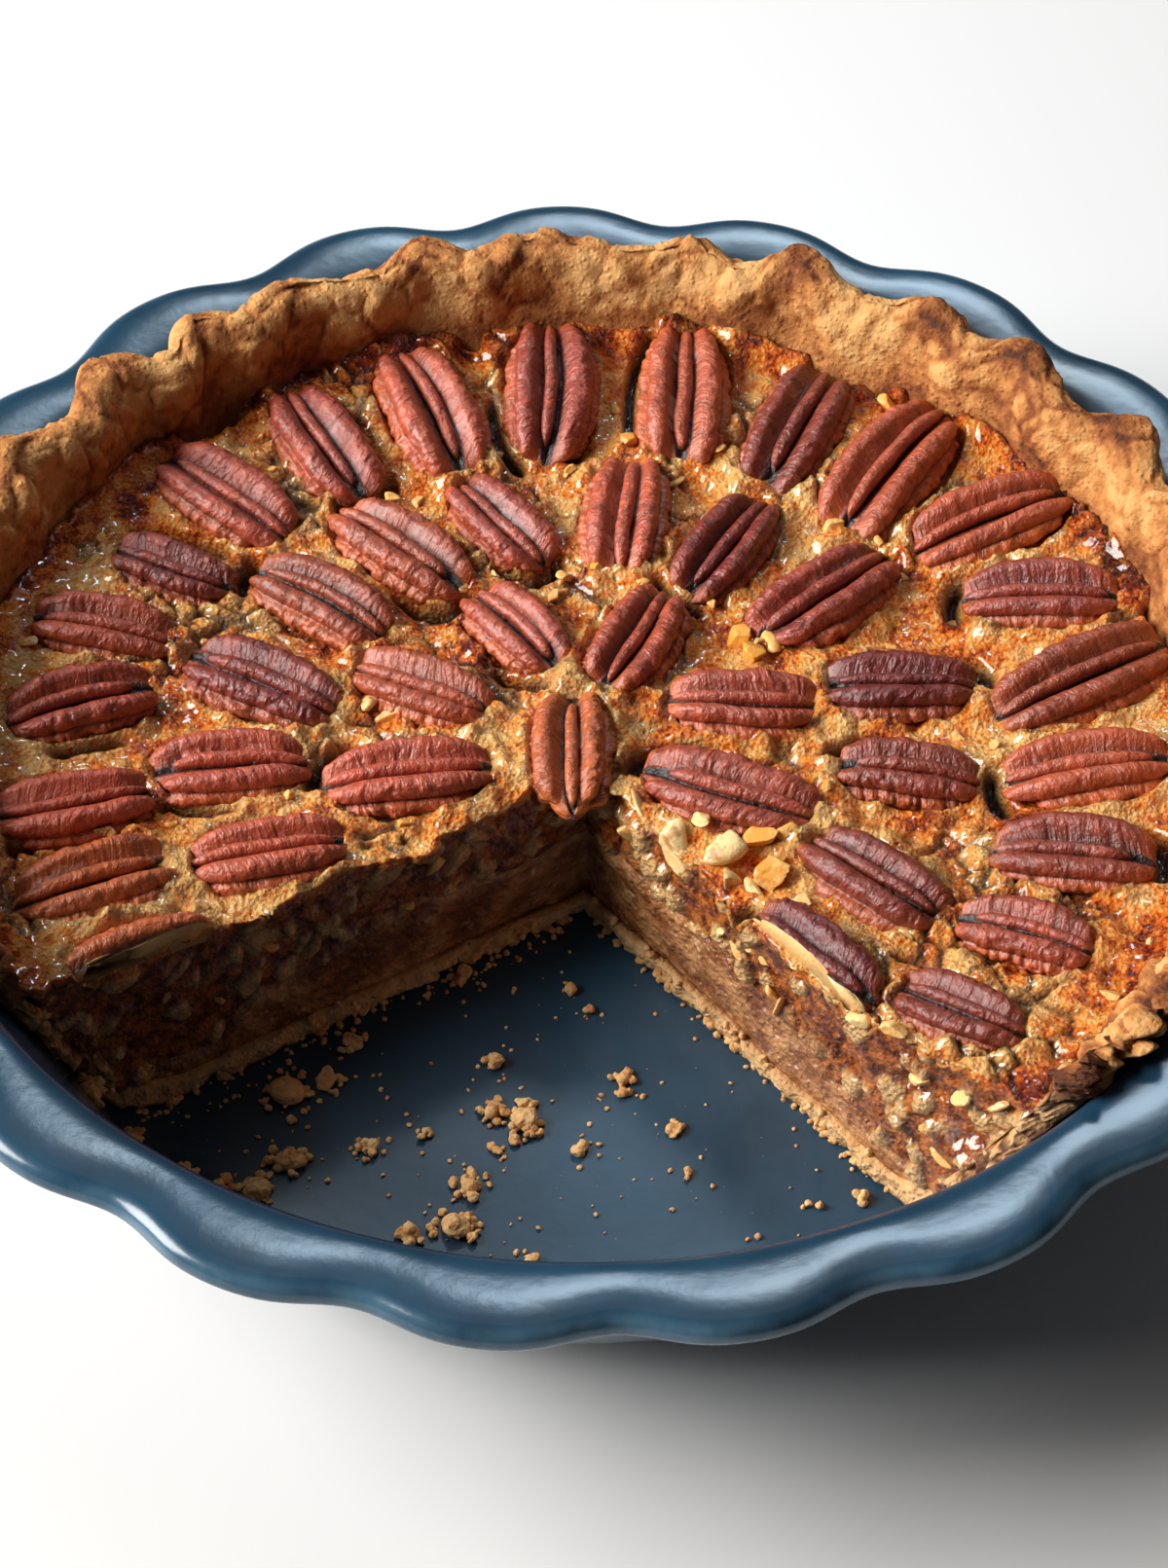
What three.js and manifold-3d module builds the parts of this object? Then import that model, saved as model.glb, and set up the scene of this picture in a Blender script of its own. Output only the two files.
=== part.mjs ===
// Pecan pie in its fluted baking dish, with one slice taken out.
// Millimetres, +Z up. The origin is the centre of the dish's flat base, and the missing slice
// opens towards -Y. Bearings are in degrees, anticlockwise from +X.

import * as THREE from 'three';
import { mergeVertices } from 'three/addons/utils/BufferGeometryUtils.js';
import Module from 'manifold-3d';

const wasm = await Module();
wasm.setup();

// ---- Driving dimensions ----

const GAP = 0.35; // clearance between pieces that touch

// Dish
const RIM_HEIGHT = 60;
const RIM_RADIUS = 130; // mean outer radius of the rolled edge
const FLANGE_INNER_RADIUS = 117.5;
const RIM_THICKNESS = 5;
const BASE_RADIUS = 88;
const FLOOR_HEIGHT = 7;
const FLOOR_RADIUS = 86;
const WALL_FOOT_RADIUS = 98.6;
const WALL_FOOT_HEIGHT = 19.2;
const WALL_TOP_RADIUS = 115;
const WALL_TOP_HEIGHT = 57;
const FLUTES = 19;
const FLUTE_DEPTH = 2; // the rim's radius runs this much out and in
const FLUTE_LIFT = 0.45; // and its height this much up and down
const DISH_SEGMENTS = FLUTES * 5;

// Pastry case
const PASTRY_THICKNESS = 4;
const PASTRY_TOP = 64;
const CRIMPS = 30;
const CRIMP_DEPTH = 2.4;
const CRIMP_LIFT = 1.3;
const CRIMP_START_BEARING = 93;
const CASE_SEGMENTS = CRIMPS * 4;
const PASTRY_ROUGHNESS = 0.5;

// Filling
const CUSTARD_TOP_CENTRE = 27;
const CUSTARD_TOP_EDGE = 24;
const CUSTARD_SEGMENTS = 60;
const SURFACE_HEIGHT = 42; // flat middle of the pie's top
const SURFACE_RISE = 7; // climb of the top towards the pastry
const RISE_START_RADIUS = 58;
const RISE_END_RADIUS = 110;
const CRAG_HEIGHT = 1;
const CRAG_SIZE = 9;
const SURFACE_RINGS = 18;

// Missing slice
const APEX = { x: 0.5, y: -2 };
const SLICE_LEFT_BEARING = -148.3;
const SLICE_RIGHT_BEARING = -50.3;
const BREAK_RADIUS = 74; // beyond this the right side's top has broken back
const BREAK_BEARING = -45;
const BREAK_HEIGHT = 30;
const SLICE_REACH = 150;

// Pecan halves: each ring has a centre and a radius, and each half is
// [bearing about that centre, mm out from the ring, length, turn of its outer end].
const PECAN_RINGS = [
  {
    centre: { x: 0, y: 4 },
    radius: 87,
    halves: [
      [216, 1, 28, -8], [204, 2, 29, 5], [192, 2, 28, 9], [177, 1, 28, 28], [165, 2, 26, 11],
      [152, -3, 24, 10], [139, 0, 30, 6], [124, 0, 30, -3], [110, -1, 33, 4], [95, 0, 34, -5],
      [78, 1, 33, 8], [63, -1, 32, 2], [49, 0, 35, 4], [35, 3, 32, -14], [22, 1, 28, -26],
      [8, 1, 34, 15], [354, 0, 30, 11], [341, 0, 28, 7], [328, -1, 25, 9], [315, 0, 24, 14],
    ],
  },
  {
    centre: { x: -1, y: 0.5 },
    radius: 59,
    halves: [
      [204, -2, 28, -10], [184, 1, 28, 3], [164, -1, 31, -11], [142, 0, 29, 6], [123, 1, 31, 16],
      [104, 1, 26, 23], [82, 2, 29, 3], [63, -1, 29, -6], [42, 0, 31, -2], [17, 0, 28, -17],
      [356, -2, 26, -5], [331, -2, 28, -13], [311, 1, 28, 1],
    ],
  },
  {
    centre: { x: -2, y: 3 },
    radius: 30,
    halves: [
      [195, -1, 30, -7], [153, 0, 27, 2], [110, 0, 25, 18], [68, -2, 28, -1], [20, 2, 27, -22],
      [338, -1, 32, 1],
    ],
  },
  { centre: { x: -2, y: 2 }, radius: 0, halves: [[90, 0, 28, 1]] },
];
const CUT_PECANS = ['pecan_01', 'pecan_20', 'pecan_33']; // halves that the knife went through
const PECAN_WIDTH_RATIO = 0.45;
const PECAN_WIDTH_BASE = 3.8;
const PECAN_HEIGHT_RATIO = 0.5; // of its width
const PECAN_SINK = 1.5; // depth of its flat underside below the pie's top
// Stations along a half, from the middle to the tip: [place, width, height]
const PECAN_STATIONS = [[-0.84, 0.6, 0.7], [-0.45, 0.92, 0.94], [0, 1, 1], [0.45, 0.9, 0.95], [0.84, 0.52, 0.66]];
// Section of a half from the left edge over the top: [across, up]
const PECAN_SECTION = [
  [-0.62, 0], [-1, 0.3], [-0.76, 0.72], [-0.42, 1], [-0.19, 0.64], [0, 0.8],
  [0.19, 0.64], [0.42, 1], [0.76, 0.72], [1, 0.3], [0.62, 0],
];
const PECAN_TIP_HEIGHT = 0.32;

// Chopped nuts
const TOP_BITS = 26;
const CUT_FACE_BITS = 9; // on each side of the slice
const BIT_SIZE = 2.6;
const SEED = 20;

const COLOURS = {
  dish: 0x3a5f78,
  pastry: 0xc98a45,
  custard: 0x6b3a14,
  nutLayer: 0xa8641f,
  pecan: 0x7a3524,
};

// ---- Helpers ----

const RADIANS = Math.PI / 180;

/** Even random numbers from 0 to 1, the same on each run. */
function makeRandom(seed) {
  let state = seed;
  return () => {
    state = (state * 1664525 + 1013904223) % 4294967296;
    return state / 4294967296;
  };
}

/** Smooth wandering value from -1 to 1 at a point. */
function wander(x, y, z) {
  const a = Math.sin(x * 1.7 + 2.1 * Math.sin(y * 1.3 + z));
  const b = Math.sin(y * 2.3 + 1.7 * Math.sin(z * 1.9 - x * 0.7));
  const c = Math.sin(z * 1.1 + x * 2.9 + 1.3 * Math.sin(y * 2.7));
  return (a + b + c) / 3;
}

function smoothStep(value, low, high) {
  return THREE.MathUtils.smoothstep(value, low, high);
}

/** A geometry with shared corners merged and empty triangles dropped. */
function mergeCorners(geometry) {
  geometry.deleteAttribute('normal');
  geometry.deleteAttribute('uv');
  const merged = mergeVertices(geometry, 1e-4);
  const index = merged.getIndex().array;
  const kept = [];
  for (let i = 0; i < index.length; i += 3) {
    const [a, b, c] = [index[i], index[i + 1], index[i + 2]];
    if (a !== b && b !== c && c !== a) kept.push(a, b, c);
  }
  merged.setIndex(kept);
  return merged;
}

function toSolid(geometry) {
  return new wasm.Manifold(new wasm.Mesh({
    numProp: 3,
    vertProperties: Float32Array.from(geometry.getAttribute('position').array),
    triVerts: Uint32Array.from(geometry.getIndex().array),
  }));
}

function toGeometry(solid) {
  const mesh = solid.getMesh();
  const geometry = new THREE.BufferGeometry();
  geometry.setAttribute('position', new THREE.BufferAttribute(mesh.vertProperties, 3));
  geometry.setIndex(new THREE.BufferAttribute(mesh.triVerts, 1));
  return geometry;
}

/**
 * A turned piece. Each profile point is { r, z, wave }, from the axis at the bottom round the outside
 * and back to the axis, and shape(point, bearing) gives the radius and height of that point there.
 */
function turnedPiece(profile, segments, shape) {
  const points = profile.map(({ r, z }) => new THREE.Vector2(r, z));
  const geometry = new THREE.LatheGeometry(points, segments);
  geometry.rotateX(Math.PI / 2);
  const position = geometry.getAttribute('position');
  for (let i = 0; i < position.count; i += 1) {
    const point = profile[i % profile.length];
    if (point.r > 0) {
      const bearing = (Math.floor(i / profile.length) % segments) * ((2 * Math.PI) / segments);
      const place = shape(point, bearing);
      position.setXYZ(i, place.r * Math.cos(bearing), place.r * Math.sin(bearing), place.z);
    } else {
      position.setXYZ(i, 0, 0, point.z);
    }
  }
  return mergeCorners(geometry);
}

/** Turns a closed geometry's faces outward. */
function faceOutward(geometry) {
  const position = geometry.getAttribute('position');
  const index = geometry.getIndex();
  const corners = [new THREE.Vector3(), new THREE.Vector3(), new THREE.Vector3()];
  let volume = 0;
  for (let i = 0; i < index.count; i += 3) {
    corners.forEach((corner, k) => corner.fromBufferAttribute(position, index.getX(i + k)));
    volume += corners[0].dot(corners[1].clone().cross(corners[2]));
  }
  if (volume < 0) geometry.setIndex(Array.from(index.array).reverse());
  return geometry;
}

function makePiece(name, geometry, colour, roughness) {
  const material = new THREE.MeshStandardMaterial({ color: colour, roughness, metalness: 0 });
  const piece = new THREE.Mesh(geometry, material);
  piece.name = name;
  return piece;
}

// ---- Dish ----

/** Phase of the flutes at a bearing. The spacing drifts a little round the rim, as hand-finished ware does. */
function flutePhase(bearing) {
  return FLUTES * bearing + 0.7 + 0.35 * Math.cos(bearing) - 0.55 * Math.sin(2 * bearing);
}

function makeDish() {
  const wall = RIM_THICKNESS + 0.5;
  const under = RIM_HEIGHT - RIM_THICKNESS;
  const profile = [
    { r: 0, z: 0 },
    { r: BASE_RADIUS - 3, z: 0 },
    { r: BASE_RADIUS, z: 1.2 },
    { r: WALL_FOOT_RADIUS + wall, z: WALL_FOOT_HEIGHT },
    { r: WALL_TOP_RADIUS + wall - 1.5, z: under - 2 },
    { r: WALL_TOP_RADIUS + wall + 1.5, z: under },
    { r: RIM_RADIUS - 1.8, z: under, wave: 1 },
    { r: RIM_RADIUS, z: under + 1.8, wave: 1 },
    { r: RIM_RADIUS - 0.4, z: RIM_HEIGHT - 1.2, wave: 1 },
    { r: RIM_RADIUS - 2.6, z: RIM_HEIGHT, wave: 0.9 },
    { r: FLANGE_INNER_RADIUS, z: RIM_HEIGHT - 0.2 },
    { r: WALL_TOP_RADIUS, z: WALL_TOP_HEIGHT },
    { r: WALL_FOOT_RADIUS, z: WALL_FOOT_HEIGHT },
    { r: WALL_FOOT_RADIUS - 2, z: FLOOR_HEIGHT + 6.2 },
    { r: FLOOR_RADIUS + 6.3, z: FLOOR_HEIGHT + 1.7 },
    { r: FLOOR_RADIUS, z: FLOOR_HEIGHT },
    { r: 0, z: FLOOR_HEIGHT },
  ];
  const flute = ({ r, z, wave = 0 }, bearing) => {
    const swing = wave * Math.cos(flutePhase(bearing));
    return { r: r + FLUTE_DEPTH * swing, z: z + FLUTE_LIFT * swing };
  };
  return faceOutward(turnedPiece(profile, DISH_SEGMENTS, flute));
}

// ---- Missing slice ----

function fromApex(bearing, reach) {
  return new THREE.Vector2(
    APEX.x + reach * Math.cos(bearing * RADIANS),
    APEX.y + reach * Math.sin(bearing * RADIANS),
  );
}

/** The space of the slice, upright from a height. Where it is broken, its right side falls back. */
function sliceSpace(fromHeight, broken) {
  const outline = [new THREE.Vector2(APEX.x, APEX.y), fromApex(SLICE_LEFT_BEARING, SLICE_REACH)];
  outline.push(fromApex((SLICE_LEFT_BEARING + SLICE_RIGHT_BEARING) / 2, SLICE_REACH * 1.6));
  outline.push(fromApex(broken ? BREAK_BEARING : SLICE_RIGHT_BEARING, SLICE_REACH));
  if (broken) outline.push(fromApex(SLICE_RIGHT_BEARING, BREAK_RADIUS));
  const space = new THREE.ExtrudeGeometry(new THREE.Shape(outline), { depth: 80, bevelEnabled: false });
  space.translate(0, 0, fromHeight);
  return toSolid(faceOutward(mergeCorners(space)));
}

const slice = sliceSpace(0, false);
const brokenSlice = sliceSpace(BREAK_HEIGHT, true);

// ---- Pastry case ----

/** Radius of the dish's inner wall at a height on its straight part. */
function dishWallRadius(height) {
  const part = (height - WALL_FOOT_HEIGHT) / (WALL_TOP_HEIGHT - WALL_FOOT_HEIGHT);
  return THREE.MathUtils.lerp(WALL_FOOT_RADIUS, WALL_TOP_RADIUS, part);
}

/** Radius of the pastry's inner wall at a height. */
function pastryWallRadius(height) {
  return dishWallRadius(height) - GAP - PASTRY_THICKNESS;
}

const PASTRY_FLOOR = FLOOR_HEIGHT + GAP + PASTRY_THICKNESS;

function makePastryCase() {
  const filledTo = SURFACE_HEIGHT + SURFACE_RISE;
  const profile = [
    { r: 0, z: FLOOR_HEIGHT + GAP },
    { r: FLOOR_RADIUS - 0.3, z: FLOOR_HEIGHT + GAP },
    { r: FLOOR_RADIUS + 5.8, z: FLOOR_HEIGHT + 2.2 },
    { r: WALL_FOOT_RADIUS - 2.6, z: FLOOR_HEIGHT + 6.6 },
    { r: WALL_FOOT_RADIUS - GAP - 0.2, z: WALL_FOOT_HEIGHT },
    { r: dishWallRadius(56) - GAP - 0.2, z: 56 },
    { r: FLANGE_INNER_RADIUS - 2, z: RIM_HEIGHT + 0.9, wave: 0.5 },
    { r: FLANGE_INNER_RADIUS, z: PASTRY_TOP - 2, wave: 1 },
    { r: FLANGE_INNER_RADIUS - 2.4, z: PASTRY_TOP, wave: 1 },
    { r: FLANGE_INNER_RADIUS - 6, z: PASTRY_TOP - 0.4, wave: 0.9 },
    { r: FLANGE_INNER_RADIUS - 8.6, z: PASTRY_TOP - 4, wave: 0.6 },
    { r: pastryWallRadius(filledTo + 1) + 0.4, z: filledTo + 1 },
    { r: pastryWallRadius(WALL_FOOT_HEIGHT + 2), z: WALL_FOOT_HEIGHT + 2 },
    { r: FLOOR_RADIUS + 2, z: PASTRY_FLOOR + 2 },
    { r: FLOOR_RADIUS - 5, z: PASTRY_FLOOR },
    { r: 0, z: PASTRY_FLOOR },
  ];
  const crimp = ({ r, z, wave = 0 }, bearing) => {
    const drift = 0.6 * Math.sin(3 * bearing) + 0.5 * Math.sin(5 * bearing + 1);
    const swing = wave * Math.cos(CRIMPS * (bearing - CRIMP_START_BEARING * RADIANS) + drift);
    const rough = wave * PASTRY_ROUGHNESS * wander(12 * Math.cos(bearing), 12 * Math.sin(bearing), z);
    return { r: r + CRIMP_DEPTH * swing + rough, z: z + CRIMP_LIFT * Math.max(swing, -0.4) + rough };
  };
  const whole = toSolid(faceOutward(turnedPiece(profile, CASE_SEGMENTS, crimp)));
  return toGeometry(whole.subtract(slice).subtract(sliceSpace(SURFACE_HEIGHT, true)));
}

// ---- Pecan halves ----

/** Height of the pie's top at a radius, before its crags. */
function surfaceHeight(radius) {
  const part = THREE.MathUtils.clamp((radius - RISE_START_RADIUS) / (RISE_END_RADIUS - RISE_START_RADIUS), 0, 1);
  return SURFACE_HEIGHT + SURFACE_RISE * part ** 1.4;
}

/** Every pecan half with its size and its place on the pie, as a matrix from its own axes. */
function layOutPecans() {
  const halves = PECAN_RINGS.flatMap((ring) => ring.halves.map((half) => ({ ring, half })));
  return halves.map(({ ring, half: [bearing, out, length, turn] }, i) => {
    const x = ring.centre.x + (ring.radius + out) * Math.cos(bearing * RADIANS);
    const y = ring.centre.y + (ring.radius + out) * Math.sin(bearing * RADIANS);
    const radius = Math.hypot(x, y);
    const slope = (surfaceHeight(radius + length / 2) - surfaceHeight(radius - length / 2)) / length;
    const up = new THREE.Vector3((-slope * x) / Math.max(radius, 1), (-slope * y) / Math.max(radius, 1), 1).normalize();
    const heading = (bearing + turn) * RADIANS;
    const across = up.clone().cross(new THREE.Vector3(Math.cos(heading), Math.sin(heading), 0)).normalize();
    const along = across.clone().cross(up);
    const seat = (surfaceHeight(radius + length / 2) + surfaceHeight(radius - length / 2)) / 2 - PECAN_SINK;
    const matrix = new THREE.Matrix4().makeBasis(along, across, up).setPosition(x, y, seat);
    const width = PECAN_WIDTH_RATIO * length + PECAN_WIDTH_BASE;
    const name = `pecan_${String(i + 1).padStart(2, '0')}`;
    return { name, length, width, matrix, inverse: matrix.clone().invert() };
  });
}

/** One half: flat underneath, two long lobes above with a sunken ridge between them. */
function makePecan({ length, width }) {
  const height = width * PECAN_HEIGHT_RATIO;
  const corners = [];
  PECAN_STATIONS.forEach(([place, wide, high]) => {
    PECAN_SECTION.forEach(([across, up]) => {
      corners.push((place * length) / 2, (across * wide * width) / 2, up * high * height);
    });
  });
  corners.push(-length / 2, 0, PECAN_TIP_HEIGHT * height, length / 2, 0, PECAN_TIP_HEIGHT * height);
  const around = PECAN_SECTION.length;
  const last = (PECAN_STATIONS.length - 1) * around;
  const tip = PECAN_STATIONS.length * around;
  const faces = [];
  for (let k = 0; k < around; k += 1) {
    const next = (k + 1) % around;
    for (let start = 0; start < last; start += around) {
      faces.push(start + k, start + next, start + around + k);
      faces.push(start + next, start + around + next, start + around + k);
    }
    faces.push(tip, next, k, tip + 1, last + k, last + next);
  }
  const geometry = new THREE.BufferGeometry();
  geometry.setAttribute('position', new THREE.Float32BufferAttribute(corners, 3));
  geometry.setIndex(faces);
  return faceOutward(geometry);
}

const pecans = layOutPecans();

// ---- Filling ----

/** Height of the custard's top, where the chopped nuts begin. */
function custardTop(radius) {
  return THREE.MathUtils.lerp(CUSTARD_TOP_CENTRE, CUSTARD_TOP_EDGE, radius / FLOOR_RADIUS);
}

function makeCustard() {
  const edge = pastryWallRadius(CUSTARD_TOP_EDGE) - GAP;
  const profile = [
    { r: 0, z: PASTRY_FLOOR + GAP },
    { r: FLOOR_RADIUS - 5.6, z: PASTRY_FLOOR + GAP },
    { r: FLOOR_RADIUS + 1.3, z: PASTRY_FLOOR + 2.3 + GAP },
    { r: pastryWallRadius(WALL_FOOT_HEIGHT + 2) - GAP - 0.2, z: WALL_FOOT_HEIGHT + 2 },
    { r: edge, z: custardTop(edge) },
    { r: 0, z: CUSTARD_TOP_CENTRE },
  ];
  const whole = toSolid(faceOutward(turnedPiece(profile, CUSTARD_SEGMENTS, ({ r, z }) => ({ r, z }))));
  return toGeometry(whole.subtract(slice));
}

/** Height of the nut layer's top: crags, pressed down under every pecan half. */
function cragHeight(x, y, cell) {
  const crag = wander(x / CRAG_SIZE, y / CRAG_SIZE, 0) + 0.6 * wander((2.2 * x) / CRAG_SIZE, (2.2 * y) / CRAG_SIZE, 3);
  let height = surfaceHeight(Math.hypot(x, y)) + CRAG_HEIGHT * crag;
  pecans.forEach(({ length, width, matrix, inverse }) => {
    const point = new THREE.Vector3(x, y, height).applyMatrix4(inverse);
    if (Math.abs(point.x) < length / 2 + cell && Math.abs(point.y) < width / 2 + cell && point.z > -GAP) {
      point.z = -GAP - 0.05;
      height = Math.min(height, point.applyMatrix4(matrix).z);
    }
  });
  return height;
}

/** The upper filling before the slice is cut: an even net of triangles over the top, closed below. */
function makeWholeNutLayer() {
  const topEdge = SURFACE_HEIGHT + SURFACE_RISE;
  const reach = pastryWallRadius(topEdge - 1.5) - GAP;
  const foot = pastryWallRadius(CUSTARD_TOP_EDGE + GAP) - GAP;
  const cell = reach / SURFACE_RINGS;
  const corners = [0, 0, cragHeight(0, 0, cell)];
  const ringStart = (ring) => (ring === 0 ? 0 : 1 + 3 * ring * (ring - 1));
  for (let ring = 1; ring <= SURFACE_RINGS; ring += 1) {
    for (let k = 0; k < 6 * ring; k += 1) {
      const bearing = (k / (6 * ring)) * 2 * Math.PI;
      const x = ring * cell * Math.cos(bearing);
      const y = ring * cell * Math.sin(bearing);
      const height = cragHeight(x, y, cell);
      corners.push(x, y, ring === SURFACE_RINGS ? Math.min(height, topEdge) : height);
    }
  }
  const faces = [];
  for (let ring = 1; ring <= SURFACE_RINGS; ring += 1) {
    const outer = (k) => ringStart(ring) + (k % (6 * ring));
    const inner = (k) => ringStart(ring - 1) + (ring === 1 ? 0 : k % (6 * (ring - 1)));
    for (let side = 0; side < 6; side += 1) {
      for (let k = 0; k < ring; k += 1) {
        const out = side * ring + k;
        const within = side * (ring - 1) + k;
        faces.push(outer(out), outer(out + 1), inner(within));
        if (k < ring - 1) faces.push(outer(out + 1), inner(within + 1), inner(within));
      }
    }
  }
  const edgeCount = 6 * SURFACE_RINGS;
  const footStart = corners.length / 3;
  for (let k = 0; k < edgeCount; k += 1) {
    const bearing = (k / edgeCount) * 2 * Math.PI;
    corners.push(foot * Math.cos(bearing), foot * Math.sin(bearing), custardTop(foot) + GAP);
  }
  const centre = corners.length / 3;
  corners.push(0, 0, CUSTARD_TOP_CENTRE + GAP);
  for (let k = 0; k < edgeCount; k += 1) {
    const next = (k + 1) % edgeCount;
    const top = ringStart(SURFACE_RINGS);
    faces.push(top + k, footStart + k, top + next, top + next, footStart + k, footStart + next);
    faces.push(footStart + k, centre, footStart + next);
  }
  const geometry = new THREE.BufferGeometry();
  geometry.setAttribute('position', new THREE.Float32BufferAttribute(corners, 3));
  geometry.setIndex(faces);
  return toSolid(faceOutward(geometry));
}

/** A chip of chopped nut, as a crooked eight-sided lump. */
function makeBit(random, x, y, z) {
  const geometry = new THREE.OctahedronGeometry(BIT_SIZE * (0.8 + 0.6 * random()));
  geometry.scale(1.2, 0.6 + 0.5 * random(), 0.7);
  geometry.rotateZ(random() * Math.PI);
  geometry.rotateX(random());
  geometry.translate(x, y, z);
  return toSolid(faceOutward(mergeCorners(geometry)));
}

/** Whether a point is at least a distance from every pecan half's outline. */
function isClearOfPecans(x, y, distance) {
  return pecans.every(({ length, width, inverse }) => {
    const point = new THREE.Vector3(x, y, surfaceHeight(Math.hypot(x, y))).applyMatrix4(inverse);
    return Math.hypot(point.x / (length / 2 + distance), point.y / (width / 2 + distance)) > 1;
  });
}

function makeNutLayer() {
  const random = makeRandom(SEED);
  let layer = makeWholeNutLayer().subtract(slice).subtract(brokenSlice);
  const reach = pastryWallRadius(SURFACE_HEIGHT) - 6;
  let placed = 0;
  while (placed < TOP_BITS) {
    const radius = reach * Math.sqrt(random());
    const bearing = 2 * Math.PI * random();
    const x = radius * Math.cos(bearing);
    const y = radius * Math.sin(bearing);
    const degrees = THREE.MathUtils.euclideanModulo(bearing / RADIANS, 360) - 360;
    const inSlice = degrees > SLICE_LEFT_BEARING - 5 && degrees < BREAK_BEARING + 5;
    if (!inSlice && isClearOfPecans(x, y, BIT_SIZE + 1.5)) {
      layer = layer.add(makeBit(random, x, y, cragHeight(x, y, reach / SURFACE_RINGS)));
      placed += 1;
    }
  }
  [SLICE_LEFT_BEARING, SLICE_RIGHT_BEARING].forEach((bearing) => {
    for (let k = 0; k < CUT_FACE_BITS; k += 1) {
      const reachOut = THREE.MathUtils.lerp(10, BREAK_RADIUS - 4, (k + 0.5 * random()) / CUT_FACE_BITS);
      const place = fromApex(bearing, reachOut);
      const height = THREE.MathUtils.lerp(CUSTARD_TOP_CENTRE + 4, SURFACE_HEIGHT - 5.5, random());
      layer = layer.add(makeBit(random, place.x, place.y, height));
    }
  });
  return toGeometry(layer);
}

// ---- The pie ----

const pie = new THREE.Group();
pie.add(makePiece('dish', makeDish(), COLOURS.dish, 0.35));
pie.add(makePiece('crust', makePastryCase(), COLOURS.pastry, 0.8));
pie.add(makePiece('custard', makeCustard(), COLOURS.custard, 0.3));
pie.add(makePiece('nut_layer', makeNutLayer(), COLOURS.nutLayer, 0.6));
pecans.forEach((pecan) => {
  let geometry = makePecan(pecan).applyMatrix4(pecan.matrix);
  if (CUT_PECANS.includes(pecan.name)) {
    geometry = toGeometry(toSolid(geometry).subtract(slice).subtract(brokenSlice));
  }
  pie.add(makePiece(pecan.name, geometry, COLOURS.pecan, 0.5));
});

export default pie;
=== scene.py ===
"""Looks of a pecan pie in its fluted baking dish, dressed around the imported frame.

Sizes are in millimetres in the pie's own frame, +Z up: the origin is the centre of the dish's flat base
and the missing slice opens towards -Y. Bearings are in degrees, anticlockwise from +X.
"""

import logging
import math
from collections.abc import Callable, Sequence
from dataclasses import dataclass, field
from enum import Enum

import bmesh
import bpy
import numpy as np
from mathutils import Matrix, Vector


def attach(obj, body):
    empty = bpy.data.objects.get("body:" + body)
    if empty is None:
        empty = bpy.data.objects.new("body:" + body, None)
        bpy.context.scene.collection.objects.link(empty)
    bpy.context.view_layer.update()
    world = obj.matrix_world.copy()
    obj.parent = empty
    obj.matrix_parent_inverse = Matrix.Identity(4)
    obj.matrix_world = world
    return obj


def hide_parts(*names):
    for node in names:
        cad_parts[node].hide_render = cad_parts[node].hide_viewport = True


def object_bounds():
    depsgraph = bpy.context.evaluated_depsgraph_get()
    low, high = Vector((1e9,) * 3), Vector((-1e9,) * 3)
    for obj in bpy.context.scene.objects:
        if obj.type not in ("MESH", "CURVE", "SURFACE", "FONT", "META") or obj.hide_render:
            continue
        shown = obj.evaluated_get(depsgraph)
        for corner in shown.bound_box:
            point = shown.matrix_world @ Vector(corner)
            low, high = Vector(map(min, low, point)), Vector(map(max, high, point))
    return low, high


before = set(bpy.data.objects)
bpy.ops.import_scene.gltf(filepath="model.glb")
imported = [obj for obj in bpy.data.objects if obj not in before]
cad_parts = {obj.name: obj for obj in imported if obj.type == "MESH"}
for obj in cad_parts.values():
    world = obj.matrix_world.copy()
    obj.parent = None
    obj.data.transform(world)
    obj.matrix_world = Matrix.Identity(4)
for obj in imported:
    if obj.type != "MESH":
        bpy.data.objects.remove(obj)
CAD_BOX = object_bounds()

LOG = logging.getLogger("pecan_pie")
MM = 0.001
MERGE = 1e-6
BODY = "root"

Array = np.ndarray
Triple = tuple[float, float, float]
Colour = Triple


class Slot(Enum):
    """The record's material slots."""

    DISH = "dish_glaze"
    PASTRY = "pastry"
    CUSTARD = "custard"
    NUTS = "nut_layer"
    SKIN = "pecan_skin"


# ---- Noise and small sums ----


def ease(value: Array, low: float, high: float) -> Array:
    """Smooth step from 0 at low to 1 at high, or down where high is the lower."""
    part = np.clip((value - low) / (high - low), 0.0, 1.0)
    return part * part * (3.0 - 2.0 * part)


def bump_at(value: Array, centre: float | Array, width: float | Array) -> Array:
    """Bell curve of height 1 at a centre."""
    return np.exp(-(((value - centre) / width) ** 2))


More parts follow.
